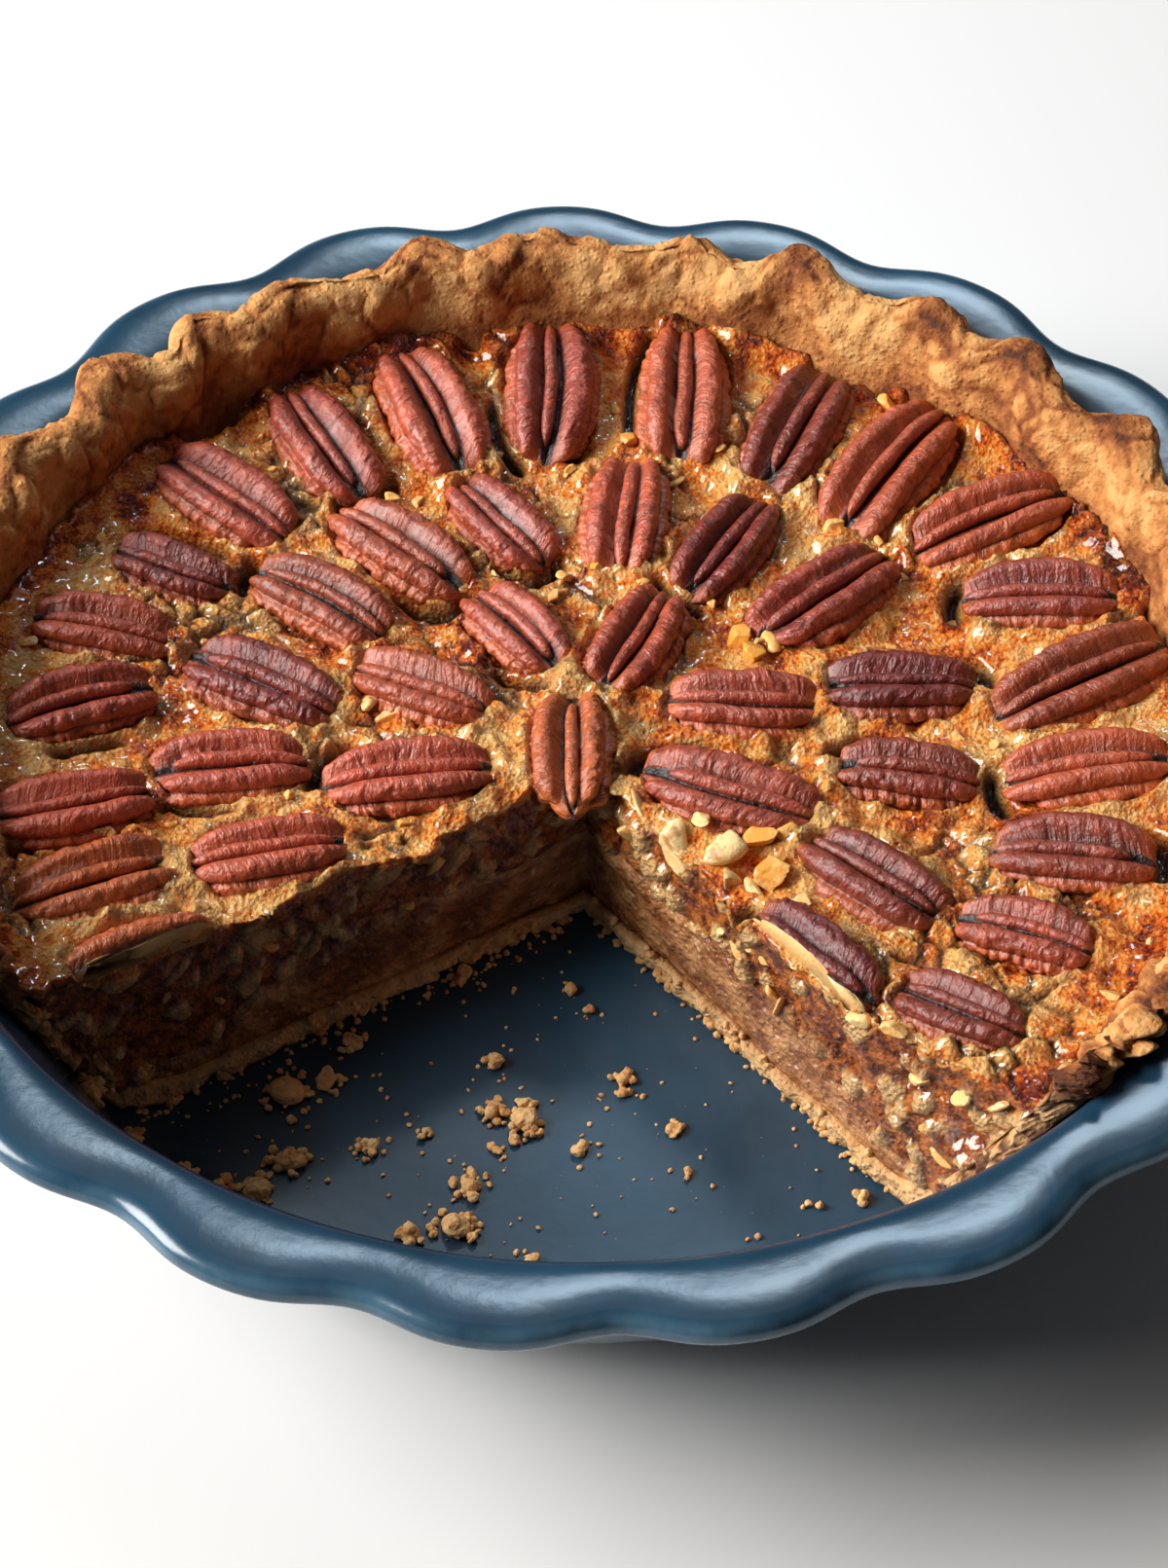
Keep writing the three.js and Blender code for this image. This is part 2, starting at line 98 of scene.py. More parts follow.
@dataclass(frozen=True)
class Noise:
    """Seeded noise in space, for shaping meshes.

    Attributes:
        seed: Number that picks the pattern.
    """

    seed: int

    def lattice(self, corner: Array, salt: int = 0) -> Array:
        """Even random numbers from 0 to 1 at whole-number corners.

        Args:
            corner: Whole numbers, shape (n, 3).
            salt: Picks one of several numbers at the same corner.

        Returns:
            One number a corner.
        """
        mixed = corner[:, 0] * 73856093 ^ corner[:, 1] * 19349663 ^ corner[:, 2] * 83492791
        mixed = (mixed + (self.seed * 97 + salt) * 668265263) & 0x7FFFFFFF
        mixed = ((mixed ^ (mixed >> 15)) * 1274126177) & 0x7FFFFFFF
        mixed = ((mixed ^ (mixed >> 13)) * 1103515245) & 0x7FFFFFFF
        return ((mixed ^ (mixed >> 16)) & 0xFFFFF) / float(0xFFFFF)

    def smooth(self, points: Array, size: float) -> Array:
        """Smooth noise from -1 to 1 with features of a size.

        Args:
            points: Places, shape (n, 3).
            size: Feature size in the points' own units.

        Returns:
            One number a point.
        """
        place = points / size
        corner = np.floor(place).astype(np.int64)
        part = place - corner
        part = part * part * (3.0 - 2.0 * part)
        total = np.zeros(len(points))
        for step in np.ndindex(2, 2, 2):
            weight = np.prod(np.where(np.array(step) == 1, part, 1.0 - part), axis=1)
            total += weight * self.lattice(corner + np.array(step))
        return 2.0 * total - 1.0

    def fractal(self, points: Array, size: float, octaves: int = 4, gain: float = 0.5) -> Array:
        """Sum of smooth noise at halving sizes, from about -1 to 1."""
        total = np.zeros(len(points))
        reach = 0.0
        for k in range(octaves):
            weight = gain**k
            total += weight * self.smooth(points + 17.3 * k, size / 2.03**k)
            reach += weight
        return total / reach * 1.3

    def cells(self, points: Array, size: float) -> tuple[Array, Array, Array]:
        """Cellular noise, for chunks and bubbles.

        Args:
            points: Places, shape (n, 3).
            size: Cell size in the points' own units.

        Returns:
            Distance to the nearest seed, how much further the next one is, and the nearest one's own
            random number. Distances are in cells.
        """
        place = points / size
        corner = np.floor(place).astype(np.int64)
        nearest = np.full(len(points), 9.0)
        second = np.full(len(points), 9.0)
        mark = np.zeros(len(points))
        for step in np.ndindex(3, 3, 3):
            cell = corner + np.array(step) - 1
            spread = np.stack([self.lattice(cell, salt) for salt in (1, 2, 3)], axis=1)
            distance = np.linalg.norm(cell + spread - place, axis=1)
            closer = distance < nearest
            second = np.where(closer, nearest, np.minimum(second, distance))
            mark = np.where(closer, self.lattice(cell, 4), mark)
            nearest = np.where(closer, distance, nearest)
        return nearest, second - nearest, mark


# ---- Meshes ----


def grid_faces(rows: int, columns: int, wrap: bool = False) -> list[list[int]]:
    """Quads over a net of points stored row by row.

    Args:
        rows: Number of rows.
        columns: Points in each row.
        wrap: Whether the last column joins the first.

    Returns:
        Faces as lists of point indices.
    """
    across = columns if wrap else columns - 1
    row, column = np.meshgrid(np.arange(rows - 1), np.arange(across), indexing="ij")
    here = row * columns + column
    beside = row * columns + (column + 1) % columns
    return np.stack([here, beside, beside + columns, here + columns], axis=-1).reshape(-1, 4).tolist()


def closed_tube(rings: int, around: int) -> list[list[int]]:
    """Quads over rings of points, with one face across each end.

    Args:
        rings: Number of rings.
        around: Points in each ring.

    Returns:
        Faces as lists of point indices.
    """
    last = (rings - 1) * around
    ends = [list(range(around)), list(range(last, last + around))]
    return grid_faces(rings, around, wrap=True) + ends


@dataclass
class MeshParts:
    """Points, faces and point attributes gathered for one mesh.

    Attributes:
        points: Blocks of places in millimetres.
        faces: Faces as tuples of point indices.
        shades: Point attributes by name, in blocks like the points.
        count: Number of points so far.
    """

    points: list[Array] = field(default_factory=list)
    faces: list[tuple[int, ...]] = field(default_factory=list)
    shades: dict[str, list[Array]] = field(default_factory=dict)
    count: int = 0

    def add(self, points: Array, faces: Sequence[Sequence[int]], **shades: Array) -> int:
        """Adds a block whose faces count from the block's own first point.

        Args:
            points: Places, shape (n, 3).
            faces: Faces of the block.
            **shades: Point attributes of the block.

        Returns:
            Index of the block's first point in the whole mesh.
        """
        start = self.count
        self.points.append(points)
        self.faces.extend(tuple(start + corner for corner in face) for face in faces)
        for name, values in shades.items():
            self.shades.setdefault(name, []).append(values)
        self.count += len(points)
        return start

    def piece(self, name: str, *materials: bpy.types.Material) -> bpy.types.Object:
        """Turns the blocks into an object at the origin, its faces outward and smooth.

        Args:
            name: Name of the piece.
            *materials: Materials in slot order.

        Returns:
            The new object, linked to the scene.
        """
        mesh = bpy.data.meshes.new(name)
        mesh.from_pydata((np.concatenate(self.points) * MM).tolist(), [], self.faces)
        for shade, blocks in self.shades.items():
            layer = mesh.attributes.new(shade, "FLOAT", "POINT")
            layer.data.foreach_set("value", np.concatenate(blocks).astype(np.float32))
        for material in materials:
            mesh.materials.append(material)
        mend_mesh(mesh)
        return show(bpy.data.objects.new(name, mesh))


def mend_mesh(mesh: bpy.types.Mesh) -> None:
    """Merges doubled points, points the faces outward and smooths the shading.

    Args:
        mesh: Mesh to mend in place.
    """
    work = bmesh.new()
    work.from_mesh(mesh)
    bmesh.ops.remove_doubles(work, verts=work.verts, dist=MERGE)
    bmesh.ops.dissolve_degenerate(work, edges=work.edges, dist=0.1 * MERGE)
    bmesh.ops.recalc_face_normals(work, faces=work.faces)
    for face in work.faces:
        face.smooth = True
    work.to_mesh(mesh)
    work.free()
    mesh.update()


def show(piece: bpy.types.Object) -> bpy.types.Object:
    """Links an object to the scene and returns it."""
    bpy.context.scene.collection.objects.link(piece)
    return piece


def dress(piece: bpy.types.Object, slot: Slot, *nodes: str) -> bpy.types.Object:
    """Fixes a finished piece to the pie.

    Args:
        piece: The piece.
        slot: Material slot of the record that it takes its finish from.
        *nodes: Solids that it stands for.

    Returns:
        The same piece.
    """
    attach(piece, BODY)
    if nodes:
        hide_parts(*nodes)
    LOG.info("%s: %d faces", piece.name, len(piece.data.polygons))
    return piece


# ---- Node helpers ----


class Value:
    """What a socket gives out, with numbers written in ordinary arithmetic."""

    def __init__(self, nodes: "Nodes", socket: bpy.types.NodeSocket) -> None:
        """Wraps an output socket of a tree."""
        self.nodes = nodes
        self.socket = socket

    def math(self, operation: str, first: "Value | float", second: "Value | float" = 0.0) -> "Value":
        """Adds one Math node.

        Args:
            operation: The node's operation.
            first: First number.
            second: Second number.

        Returns:
            The node's result.
        """
        return self.nodes.make("ShaderNodeMath", {"operation": operation}, {0: first, 1: second})

    def __add__(self, other: "Value | float") -> "Value":
        """Sum."""
        return self.math("ADD", self, other)

    __radd__ = __add__

    def __sub__(self, other: "Value | float") -> "Value":
        """Difference."""
        return self.math("SUBTRACT", self, other)

    def __rsub__(self, other: "Value | float") -> "Value":
        """Difference, the other way round."""
        return self.math("SUBTRACT", other, self)

    def __mul__(self, other: "Value | float") -> "Value":
        """Product."""
        return self.math("MULTIPLY", self, other)

    __rmul__ = __mul__

    def clamp(self) -> "Value":
        """Limits the number to between 0 and 1."""
        return self.math("MINIMUM", self.math("MAXIMUM", self, 0.0), 1.0)

    def step(self, low: float, high: float) -> "Value":
        """Smooth step from 0 at low to 1 at high."""
        settings = {"interpolation_type": "SMOOTHSTEP"}
        inputs = {"Value": self, "From Min": low, "From Max": high}
        return self.nodes.make("ShaderNodeMapRange", settings, inputs)


class Nodes:
    """A node tree under way."""

    def __init__(self, tree: bpy.types.NodeTree) -> None:
        """Takes up a tree and empties it."""
        self.tree = tree
        self.tree.nodes.clear()

    @staticmethod
    def pick(sockets: Sequence[bpy.types.NodeSocket], key: str | int) -> bpy.types.NodeSocket:
        """Finds a socket by its number, identifier or name."""
        if isinstance(key, int):
            return sockets[key]
        for socket in sockets:
            if key in (socket.identifier, socket.name) and socket.enabled:
                return socket
        raise KeyError(key)

    def make(self, kind: str, settings: dict, inputs: dict, output: str | int = 0) -> Value:
        """Adds a node.

        Args:
            kind: The node's type.
            settings: The node's own settings, set first; "stops" holds a ramp's places and colours.
            inputs: Numbers, colours, vectors or values by socket.
            output: The output wanted.

        Returns:
            That output.
        """
        node = self.tree.nodes.new(kind)
        for name, setting in settings.items():
            if name == "stops":
                elements = node.color_ramp.elements
                while len(elements) < len(setting):
                    elements.new(0.5)
                for element, (place, colour) in zip(elements, setting):
                    element.position = place
                    element.color = (*colour, 1.0)
            else:
                setattr(node, name, setting)
        for key, given in inputs.items():
            socket = self.pick(node.inputs, key)
            if isinstance(given, Value):
                self.tree.links.new(given.socket, socket)
            elif isinstance(given, tuple) and len(given) == 3 and socket.type == "RGBA":
                socket.default_value = (*given, 1.0)
            else:
                socket.default_value = given
        return Value(self, self.pick(node.outputs, output))


class Shader(Nodes):
    """Builds one material's nodes."""

    def __init__(self, name: str) -> None:
        """Starts a material with only its output node."""
        self.material = bpy.data.materials.new(name)
        self.material.use_nodes = True
        super().__init__(self.material.node_tree)
        self.output = self.tree.nodes.new("ShaderNodeOutputMaterial")

    def place(self, size: float | Triple) -> Value:
        """Object coordinates, divided by a feature size in millimetres."""
        sizes = (size, size, size) if isinstance(size, float) else size
        factors = tuple(1.0 / (MM * size) for size in sizes)
        spot = self.make("ShaderNodeTexCoord", {}, {}, "Object")
        return self.make("ShaderNodeVectorMath", {"operation": "MULTIPLY"}, {0: spot, 1: factors})

    def shade(self, name: str) -> Value:
        """Reads a point attribute of the piece."""
        return self.make("ShaderNodeAttribute", {"attribute_name": name}, {}, "Fac")

    def noise(self, size: float | Triple, detail: float = 4.0, rough: float = 0.55) -> Value:
        """Cloudy noise from 0 to 1, with features of a size in millimetres."""
        inputs = {"Vector": self.place(size), "Scale": 1.0, "Detail": detail, "Roughness": rough}
        return self.make("ShaderNodeTexNoise", {}, inputs)

    def cells(self, size: float) -> Value:
        """Distance to the nearest of scattered points, in cells of a size in millimetres."""
        inputs = {"Vector": self.place(size), "Scale": 1.0}
        return self.make("ShaderNodeTexVoronoi", {"feature": "F1"}, inputs, "Distance")

    def folds(self, size: float) -> Value:
        """Noise drawn out round the piece, from its along and around attributes in millimetres."""
        drift = self.noise(3.5, 2.0)
        along = self.shade("along") * (1.0 / size) + drift
        around = self.shade("around") * (0.36 / size)
        place = self.make("ShaderNodeCombineXYZ", {}, {"X": along, "Y": around, "Z": drift})
        inputs = {"Vector": place, "Scale": 1.0, "Detail": 3.0, "Roughness": 0.6}
        return self.make("ShaderNodeTexNoise", {}, inputs)

    def mix(self, factor: Value | float, first: Value | Colour, second: Value | Colour) -> Value:
        """Goes from one colour to another."""
        inputs = {"Factor_Float": factor, "A_Color": first, "B_Color": second}
        return self.make("ShaderNodeMix", {"data_type": "RGBA"}, inputs, "Result_Color")

    def ramp(self, factor: Value, *stops: tuple[float, Colour]) -> Value:
        """Colour from a row of stops."""
        return self.make("ShaderNodeValToRGB", {"stops": stops}, {"Fac": factor}, "Color")

    def relief(self, height: Value, depth: float) -> Value:
        """Normal of a fine relief.

        Args:
            height: Height from 0 to 1.
            depth: Its depth in millimetres.

        Returns:
            The bent normal.
        """
        inputs = {"Height": height, "Distance": depth * MM, "Strength": 1.0}
        return self.make("ShaderNodeBump", {}, inputs, "Normal")

    def finish(self, **inputs: Value | float | Colour) -> bpy.types.Material:
        """Closes the material with a Principled shader.

        Args:
            **inputs: Its sockets by name, with _ for each space.

        Returns:
            The material.
        """
        named = {key.replace("_", " "): given for key, given in inputs.items()}
        surface = self.make("ShaderNodeBsdfPrincipled", {}, named, "BSDF")
        self.tree.links.new(surface.socket, self.output.inputs["Surface"])
        return self.material


def srgb(red: float, green: float, blue: float) -> Colour:
    """Linear colour from display values of 0 to 255."""

    def linear(value: float) -> float:
        """One channel made linear."""
        part = value / 255.0
        return part / 12.92 if part <= 0.04045 else ((part + 0.055) / 1.055) ** 2.4

    return linear(red), linear(green), linear(blue)


# ---- Finishes ----


@dataclass(frozen=True)
class DishGlaze:
    """Satin blue-grey glaze, paler where it has drawn back from the edges, with a film of dust."""

    body: Colour = srgb(34, 70, 93)
    deep: Colour = srgb(25, 52, 71)
    pale: Colour = srgb(96, 130, 150)
    dust: Colour = srgb(150, 155, 155)

    def build(self) -> bpy.types.Material:
        """Makes the material. The piece carries edge and floor attributes."""
        s = Shader("blue_glaze")
        cloud = s.noise(34.0, 5.0)
        colour = s.mix(cloud.step(0.3, 0.7), self.deep, self.body)
        colour = s.mix(s.shade("edge") * s.noise(9.0).step(0.2, 0.8) * 0.55, colour, self.pale)
        smear = (s.noise((26.0, 60.0, 26.0), 6.0, 0.65).step(0.5, 0.72) * s.shade("floor")).clamp()
        specks = (1.0 - s.cells(2.6).step(0.02, 0.09)) * s.noise(22.0).step(0.45, 0.6) * s.shade("floor")
        colour = s.mix((smear * 0.04 + specks * 0.4).clamp(), colour, self.dust)
        roughness = 0.19 + 0.18 * s.shade("floor") + 0.05 * s.noise(12.0) + smear * 0.06
        height = s.noise(14.0, 3.0) + 0.12 * s.noise(1.1, 2.0)
        return s.finish(
            Base_Color=colour,
            Roughness=roughness,
            Normal=s.relief(height, 0.12),
            Specular_IOR_Level=0.5,
        )


@dataclass(frozen=True)
class BakedPastry:
    """Golden pastry, browned on its high and thin places, with painted shade in its cracks and painted light
    and shade across its crests.
    """

    gold: Colour = srgb(230, 174, 108)
    tan: Colour = srgb(208, 140, 76)
    brown: Colour = srgb(150, 84, 38)
    dark: Colour = srgb(88, 44, 20)
    crumb: Colour = srgb(236, 192, 138)

    def build(self) -> bpy.types.Material:
        """Makes the material. The piece carries a crumb attribute and one for browning mixed with painted
        shade and light.
        """
        s = Shader("baked_pastry")
        cloud = s.noise(11.0, 6.0, 0.6)
        # The browning attribute also holds painted shade in the pastry's cracks and painted light and shade
        # on its crests.
        bake = (s.shade("bake") + (cloud - 0.5) * 1.5 + (s.noise(2.2, 4.0) - 0.5) * 0.8).clamp()
        colour = s.ramp(bake, (0.1, self.gold), (0.38, self.tan), (0.72, self.brown), (1.0, self.dark))
        colour = s.mix(s.noise(0.9, 2.0).step(0.62, 0.8) * 0.35, colour, self.brown)
        broken = s.shade("crumb") * (0.45 + 0.55 * s.noise(1.9, 4.0).step(0.34, 0.56))
        colour = s.mix(broken, colour, self.crumb)
        grain = s.noise(2.4, 6.0, 0.68) + 0.25 * (1.0 - s.cells(1.3).step(0.0, 0.5))
        grain = grain + s.shade("crumb") * (0.7 * s.noise(1.2, 3.0) + 0.4 * s.cells(1.0))
        return s.finish(
            Base_Color=colour,
            Roughness=0.62 + 0.25 * s.noise(3.0),
            Normal=s.relief(grain, 1.0),
            Specular_IOR_Level=0.35,
            Subsurface_Weight=0.08,
            Subsurface_Radius=(1.0, 0.5, 0.25),
            Subsurface_Scale=0.0015,
        )


@dataclass(frozen=True)
class SetCustard:
    """Amber filling, clear enough for light to spread in it, and wet where it was cut."""

    amber: Colour = srgb(204, 144, 90)
    syrup: Colour = srgb(126, 64, 24)
    milky: Colour = srgb(234, 196, 148)

    def build(self) -> bpy.types.Material:
        """Makes the material."""
        s = Shader("set_custard")
        colour = s.mix(s.noise(8.0, 5.0).step(0.35, 0.68), self.syrup, self.amber)
        colour = s.mix(s.noise(3.0, 4.0).step(0.56, 0.74) * 0.6, colour, self.milky)
        colour = s.mix(s.shade("chunk") * 0.6, colour, self.syrup)
        height = s.noise(4.0, 4.0, 0.5) + 0.55 * s.noise(1.5, 3.0) + 0.25 * s.cells(1.2)
        return s.finish(
            Base_Color=colour,
            Roughness=0.12 + 0.2 * s.noise(2.5),
            Normal=s.relief(height, 1.9),
            Subsurface_Weight=0.4,
            Subsurface_Radius=(1.0, 0.45, 0.16),
            Subsurface_Scale=0.003,
            Coat_Weight=0.7,
            Coat_Roughness=0.07,
        )


@dataclass(frozen=True)
class NutCrust:
    """Blistered golden skin of the filling, with painted shade in its holes and pits, pale specks as painted
    glints, and chopped nuts and jelly in its cut.
    """

    pale: Colour = srgb(255, 196, 120)
    gold: Colour = srgb(250, 150, 56)
    amber: Colour = srgb(218, 98, 24)
    brown: Colour = srgb(112, 28, 4)
    froth_glint: Colour = srgb(255, 234, 202)
    hole: Colour = srgb(34, 7, 2)
    jelly: Colour = srgb(100, 36, 8)
    syrup: Colour = srgb(210, 116, 44)
    kernel: Colour = srgb(234, 186, 124)

    def build(self) -> bpy.types.Material:
        """Makes the material. The piece carries tone, cut and kernel attributes, and one for painted shade in
        its holes.
        """
        s = Shader("nut_crust")
        foam = s.noise(1.3, 5.0, 0.72)
        cloud = s.noise(6.0, 6.0, 0.68)
        tone = (s.shade("tone") + 0.06 + (cloud - 0.5) * 2.0 + (foam - 0.5) * 1.6).clamp()
        places = (0.06, 0.28, 0.48, 0.82, 1.0)
        colours = (self.brown, self.amber, self.gold, self.pale, self.pale)
        colour = s.ramp(tone, *zip(places, colours))
        bubble = s.cells(0.8)
        # Painted shade in the bubbles' pits.
        rim = (1.0 - bubble.step(0.05, 0.3)) * s.noise(5.0).step(0.4, 0.62)
        colour = s.mix(rim * 0.8, colour, self.brown)
        # Pale specks: painted glints of the wet foam.
        froth_glint = (1.0 - s.cells(1.25).step(0.08, 0.2)) * s.noise(4.5, 3.0).step(0.42, 0.56)
        colour = s.mix(froth_glint * 0.85, colour, self.froth_glint)
        wet = s.mix(s.noise(2.6, 5.0, 0.65).step(0.36, 0.64), self.jelly, self.syrup)
        wet = s.mix(s.shade("kernel"), wet, self.kernel)
        cut = s.shade("cut")
        colour = s.mix(cut, colour, wet)
        # Near-black painted shade in holes, cracks and gaps.
        colour = s.mix(s.shade("hole"), colour, self.hole)
        gloss = s.noise(3.0, 4.0, 0.7).step(0.28, 0.48)
        grain = 0.5 * s.noise(0.6, 3.0, 0.6) + 0.5 * s.noise(1.1, 2.0)
        height = foam + 0.7 * bubble + grain + cut * (1.2 * s.noise(1.9, 3.0) + 0.5 * s.cells(1.4))
        return s.finish(
            Base_Color=colour,
            Roughness=(0.46 - 0.3 * gloss - 0.34 * cut).clamp(),
            Normal=s.relief(height, 1.4),
            Specular_IOR_Level=0.3,
            Coat_Weight=(0.9 * gloss + 0.6 * cut).clamp(),
            Coat_Roughness=0.08,
            Subsurface_Weight=0.3,
            Subsurface_Radius=(1.0, 0.45, 0.15),
            Subsurface_Scale=0.0015,
        )


@dataclass(frozen=True)
class PecanSkin:
    """Roasted skin of a pecan half: mauve-brown lobes, near-black grooves that are partly painted shade,
    orange flanks, and painted light across the pie.
    """

    lobe: Colour = srgb(196, 88, 60)
    plum: Colour = srgb(114, 38, 32)
    orange: Colour = srgb(226, 118, 56)
    groove: Colour = srgb(30, 6, 4)

    def build(self) -> bpy.types.Material:
        """Makes the material. The piece carries a flank attribute, one for grooves that holds painted shade,
        and one for roast that holds painted light across the pie.
        """
        s = Shader("pecan_skin")
        mottle = s.noise(3.2, 5.0, 0.6)
        # The roast attribute also holds painted light: lighter towards the left of the pie.
        colour = s.mix((s.shade("roast") + (mottle - 0.5) * 0.7).clamp(), self.lobe, self.plum)
        colour = s.mix((s.shade("flank") * (0.35 + mottle)).clamp(), colour, self.orange)
        colour = s.mix(s.noise(0.7, 3.0).step(0.58, 0.8) * 0.3, colour, self.plum)
        # Grooves: near-black, partly their own colour and partly painted shade.
        colour = s.mix((s.shade("groove") * 1.05).clamp(), colour, self.groove)
        fold = s.folds(1.9)
        # Painted shade in the creases of the wrinkles.
        colour = s.mix(fold.step(0.48, 0.28) * 0.42, colour, self.groove)
        height = 1.3 * fold + 0.25 * s.folds(0.8) + 0.7 * s.noise(1.1, 5.0, 0.6)
        return s.finish(
            Base_Color=colour,
            Roughness=0.22 + 0.2 * s.noise(1.7),
            Normal=s.relief(height, 0.6),
            Specular_IOR_Level=0.7,
            Coat_Weight=(0.25 * s.noise(6.0).step(0.4, 0.7)).clamp(),
            Coat_Roughness=0.2,
        )


@dataclass(frozen=True)
class NutFlesh:
    """Cream flesh of a cut or chopped nut, toasted and syrupy in places."""

    cream: Colour = srgb(246, 214, 154)
    toast: Colour = srgb(232, 160, 62)
    skin: Colour = srgb(160, 84, 34)

    def build(self) -> bpy.types.Material:
        """Makes the material. The piece may carry a toast attribute."""
        s = Shader("nut_flesh")
        toast = (s.noise(3.5, 4.0).step(0.45, 0.75) * 0.5 + s.shade("toast")).clamp()
        colour = s.mix(toast, self.cream, self.toast)
        colour = s.mix(s.noise(5.0, 3.0).step(0.62, 0.74) * 0.7, colour, self.skin)
        return s.finish(
            Base_Color=colour,
            Roughness=0.3 + 0.2 * s.noise(1.5),
            Normal=s.relief(s.noise(0.9, 4.0), 0.25),
            Subsurface_Weight=0.2,
            Subsurface_Radius=(1.0, 0.6, 0.3),
            Subsurface_Scale=0.0015,
        )


@dataclass(frozen=True)
class PastryCrumb:
    """Broken pastry, sandy and pale gold."""

    light: Colour = srgb(244, 198, 136)
    warm: Colour = srgb(222, 162, 98)
    burnt: Colour = srgb(156, 96, 48)

    def build(self) -> bpy.types.Material:
        """Makes the material."""
        s = Shader("pastry_crumb")
        colour = s.mix(s.noise(2.4, 4.0).step(0.35, 0.65), self.light, self.warm)
        colour = s.mix(s.noise(4.5, 3.0).step(0.58, 0.72) * 0.8, colour, self.burnt)
        relief = s.relief(s.noise(0.7, 4.0, 0.65), 0.3)
        return s.finish(Base_Color=colour, Roughness=0.78, Normal=relief)


# ---- Shared plan of the pie ----


@dataclass(frozen=True)
class PiePlan:
    """Outlines and heights that the pie's layers share.

    Attributes:
        apex: Point of the missing slice.
        left_bearing: Direction of the slice's left wall, from the apex.
        right_bearing: Direction of its right wall.
        break_radius: Distance along the right wall past which its upper part has broken back.
        break_bearing: Bearing that the broken stretch heads for.
        break_reach: Distance at which it gets there.
        surface: Height of the top in the middle.
        surface_rise: How much higher it stands at the pastry.
        rise_start: Radius at which it starts to rise.
        rise_end: Radius at which it stops.
        floor: Height of the dish's floor.
        floor_radius: Radius of its flat part.
        wall_foot: Radius and height at which the dish's inner wall turns straight.
        wall_top: Radius and height of that wall's top.
        pastry: Thickness of the pastry, with its gap to the dish.
        brim: Height at which the filling's top meets the pastry.
        lap: How far the fillings run into the pastry.
        cut_reach: Distance along a cut at which its foot nears the dish's wall.
    """

    apex: tuple[float, float] = (0.5, -2.0)
    left_bearing: float = -148.3
    right_bearing: float = -50.3
    break_radius: float = 74.0
    break_bearing: float = -45.0
    break_reach: float = 150.0
    surface: float = 42.0
    surface_rise: float = 7.0
    rise_start: float = 58.0
    rise_end: float = 110.0
    floor: float = 7.0
    floor_radius: float = 86.0
    wall_foot: tuple[float, float] = (98.6, 19.2)
    wall_top: tuple[float, float] = (115.0, 57.0)
    pastry: float = 4.35
    brim: float = 48.0
    lap: float = 0.3
    cut_reach: float = 84.0

    @property
    def span(self) -> float:
        """Degrees of pie that are left, anticlockwise from the right wall to the left one."""
        return 360.0 + self.left_bearing - self.right_bearing

    @property
    def broken_wall(self) -> tuple[Array, Array]:
        """Where the right wall's broken stretch starts and what it heads for, from the apex."""
        near = self.break_radius * self.direction(self.right_bearing)
        return near, self.break_reach * self.direction(self.break_bearing)

    @staticmethod
    def direction(bearing: Array | float) -> Array:
        """Unit vectors at bearings in degrees, shape (..., 2)."""
        angle = np.radians(bearing)
        return np.stack([np.cos(angle), np.sin(angle)], axis=-1)

    def wall_bearing(self, end: int) -> float:
        """Bearing of a wall of the slice, 0 the right one and 1 the left one."""
        return (self.right_bearing, self.left_bearing)[end]

    def side(self, end: int) -> Array:
        """Unit vector out of a wall of the slice, 0 the right one and 1 the left one."""
        heading = self.direction(self.wall_bearing(end))
        return np.array([heading[1], -heading[0], 0.0]) * (1.0 - 2.0 * end)

    def share(self, length: float) -> float:
        """Part of the way round the crust that a length takes up."""
        return length / self.rise_end / math.radians(self.span)

    def reach(self, bearing: Array, radius: Array | float) -> Array:
        """Distance from the apex, along a bearing, to a circle about the pie's centre."""
        heading = self.direction(bearing)
        along = heading[..., 0] * self.apex[0] + heading[..., 1] * self.apex[1]
        square = self.apex[0] ** 2 + self.apex[1] ** 2
        return -along + np.sqrt(along**2 - square + np.asarray(radius) ** 2)

    def start_bearing(self, distance: Array, broken: Array) -> Array:
        """Bearing of the right wall at distances from the apex.

        Args:
            distance: Distances from the apex.
            broken: 0 where the wall is whole, 1 where it has fallen back.

        Returns:
            Bearings in degrees.
        """
        near, far = self.broken_wall
        line = near + np.linspace(0.0, 1.0, 60)[:, None] * (far - near)
        away = np.hypot(line[:, 0], line[:, 1])
        bearing = np.degrees(np.arctan2(line[:, 1], line[:, 0]))
        fallen = np.interp(distance, away, bearing, left=self.right_bearing)
        return self.right_bearing + broken * (fallen - self.right_bearing)

    def spot(self, part: Array, distance: Array, height: Array, broken: Array) -> Array:
        """Places in the pie from its own coordinates.

        Args:
            part: 0 at the right wall to 1 at the left wall.
            distance: Distance from the apex.
            height: Height.
            broken: How far the right wall has fallen back there, 0 to 1.

        Returns:
            Places, shape (n, 3).
        """
        start = self.start_bearing(distance, broken)
        bearing = start + part * (self.right_bearing + self.span - start)
        heading = self.direction(bearing)
        x = self.apex[0] + distance * heading[..., 0]
        y = self.apex[1] + distance * heading[..., 1]
        return np.stack([x, y, height], axis=-1)

    def dish_wall(self, height: Array) -> Array:
        """Radius of the dish's inner wall at a height, with its rounded foot."""
        (foot, low), (top, high) = self.wall_foot, self.wall_top
        straight = foot + (height - low) / (high - low) * (top - foot)
        turn = np.clip((height - self.floor) / (low - self.floor), 0.0, 1.0)
        rounded = self.floor_radius + (foot - self.floor_radius) * np.sqrt(1.0 - (1.0 - turn) ** 2)
        return np.where(height < low, rounded, straight)

    def pastry_wall(self, height: Array) -> Array:
        """Radius of the pastry's inner wall at a height."""
        return self.dish_wall(height) - self.pastry

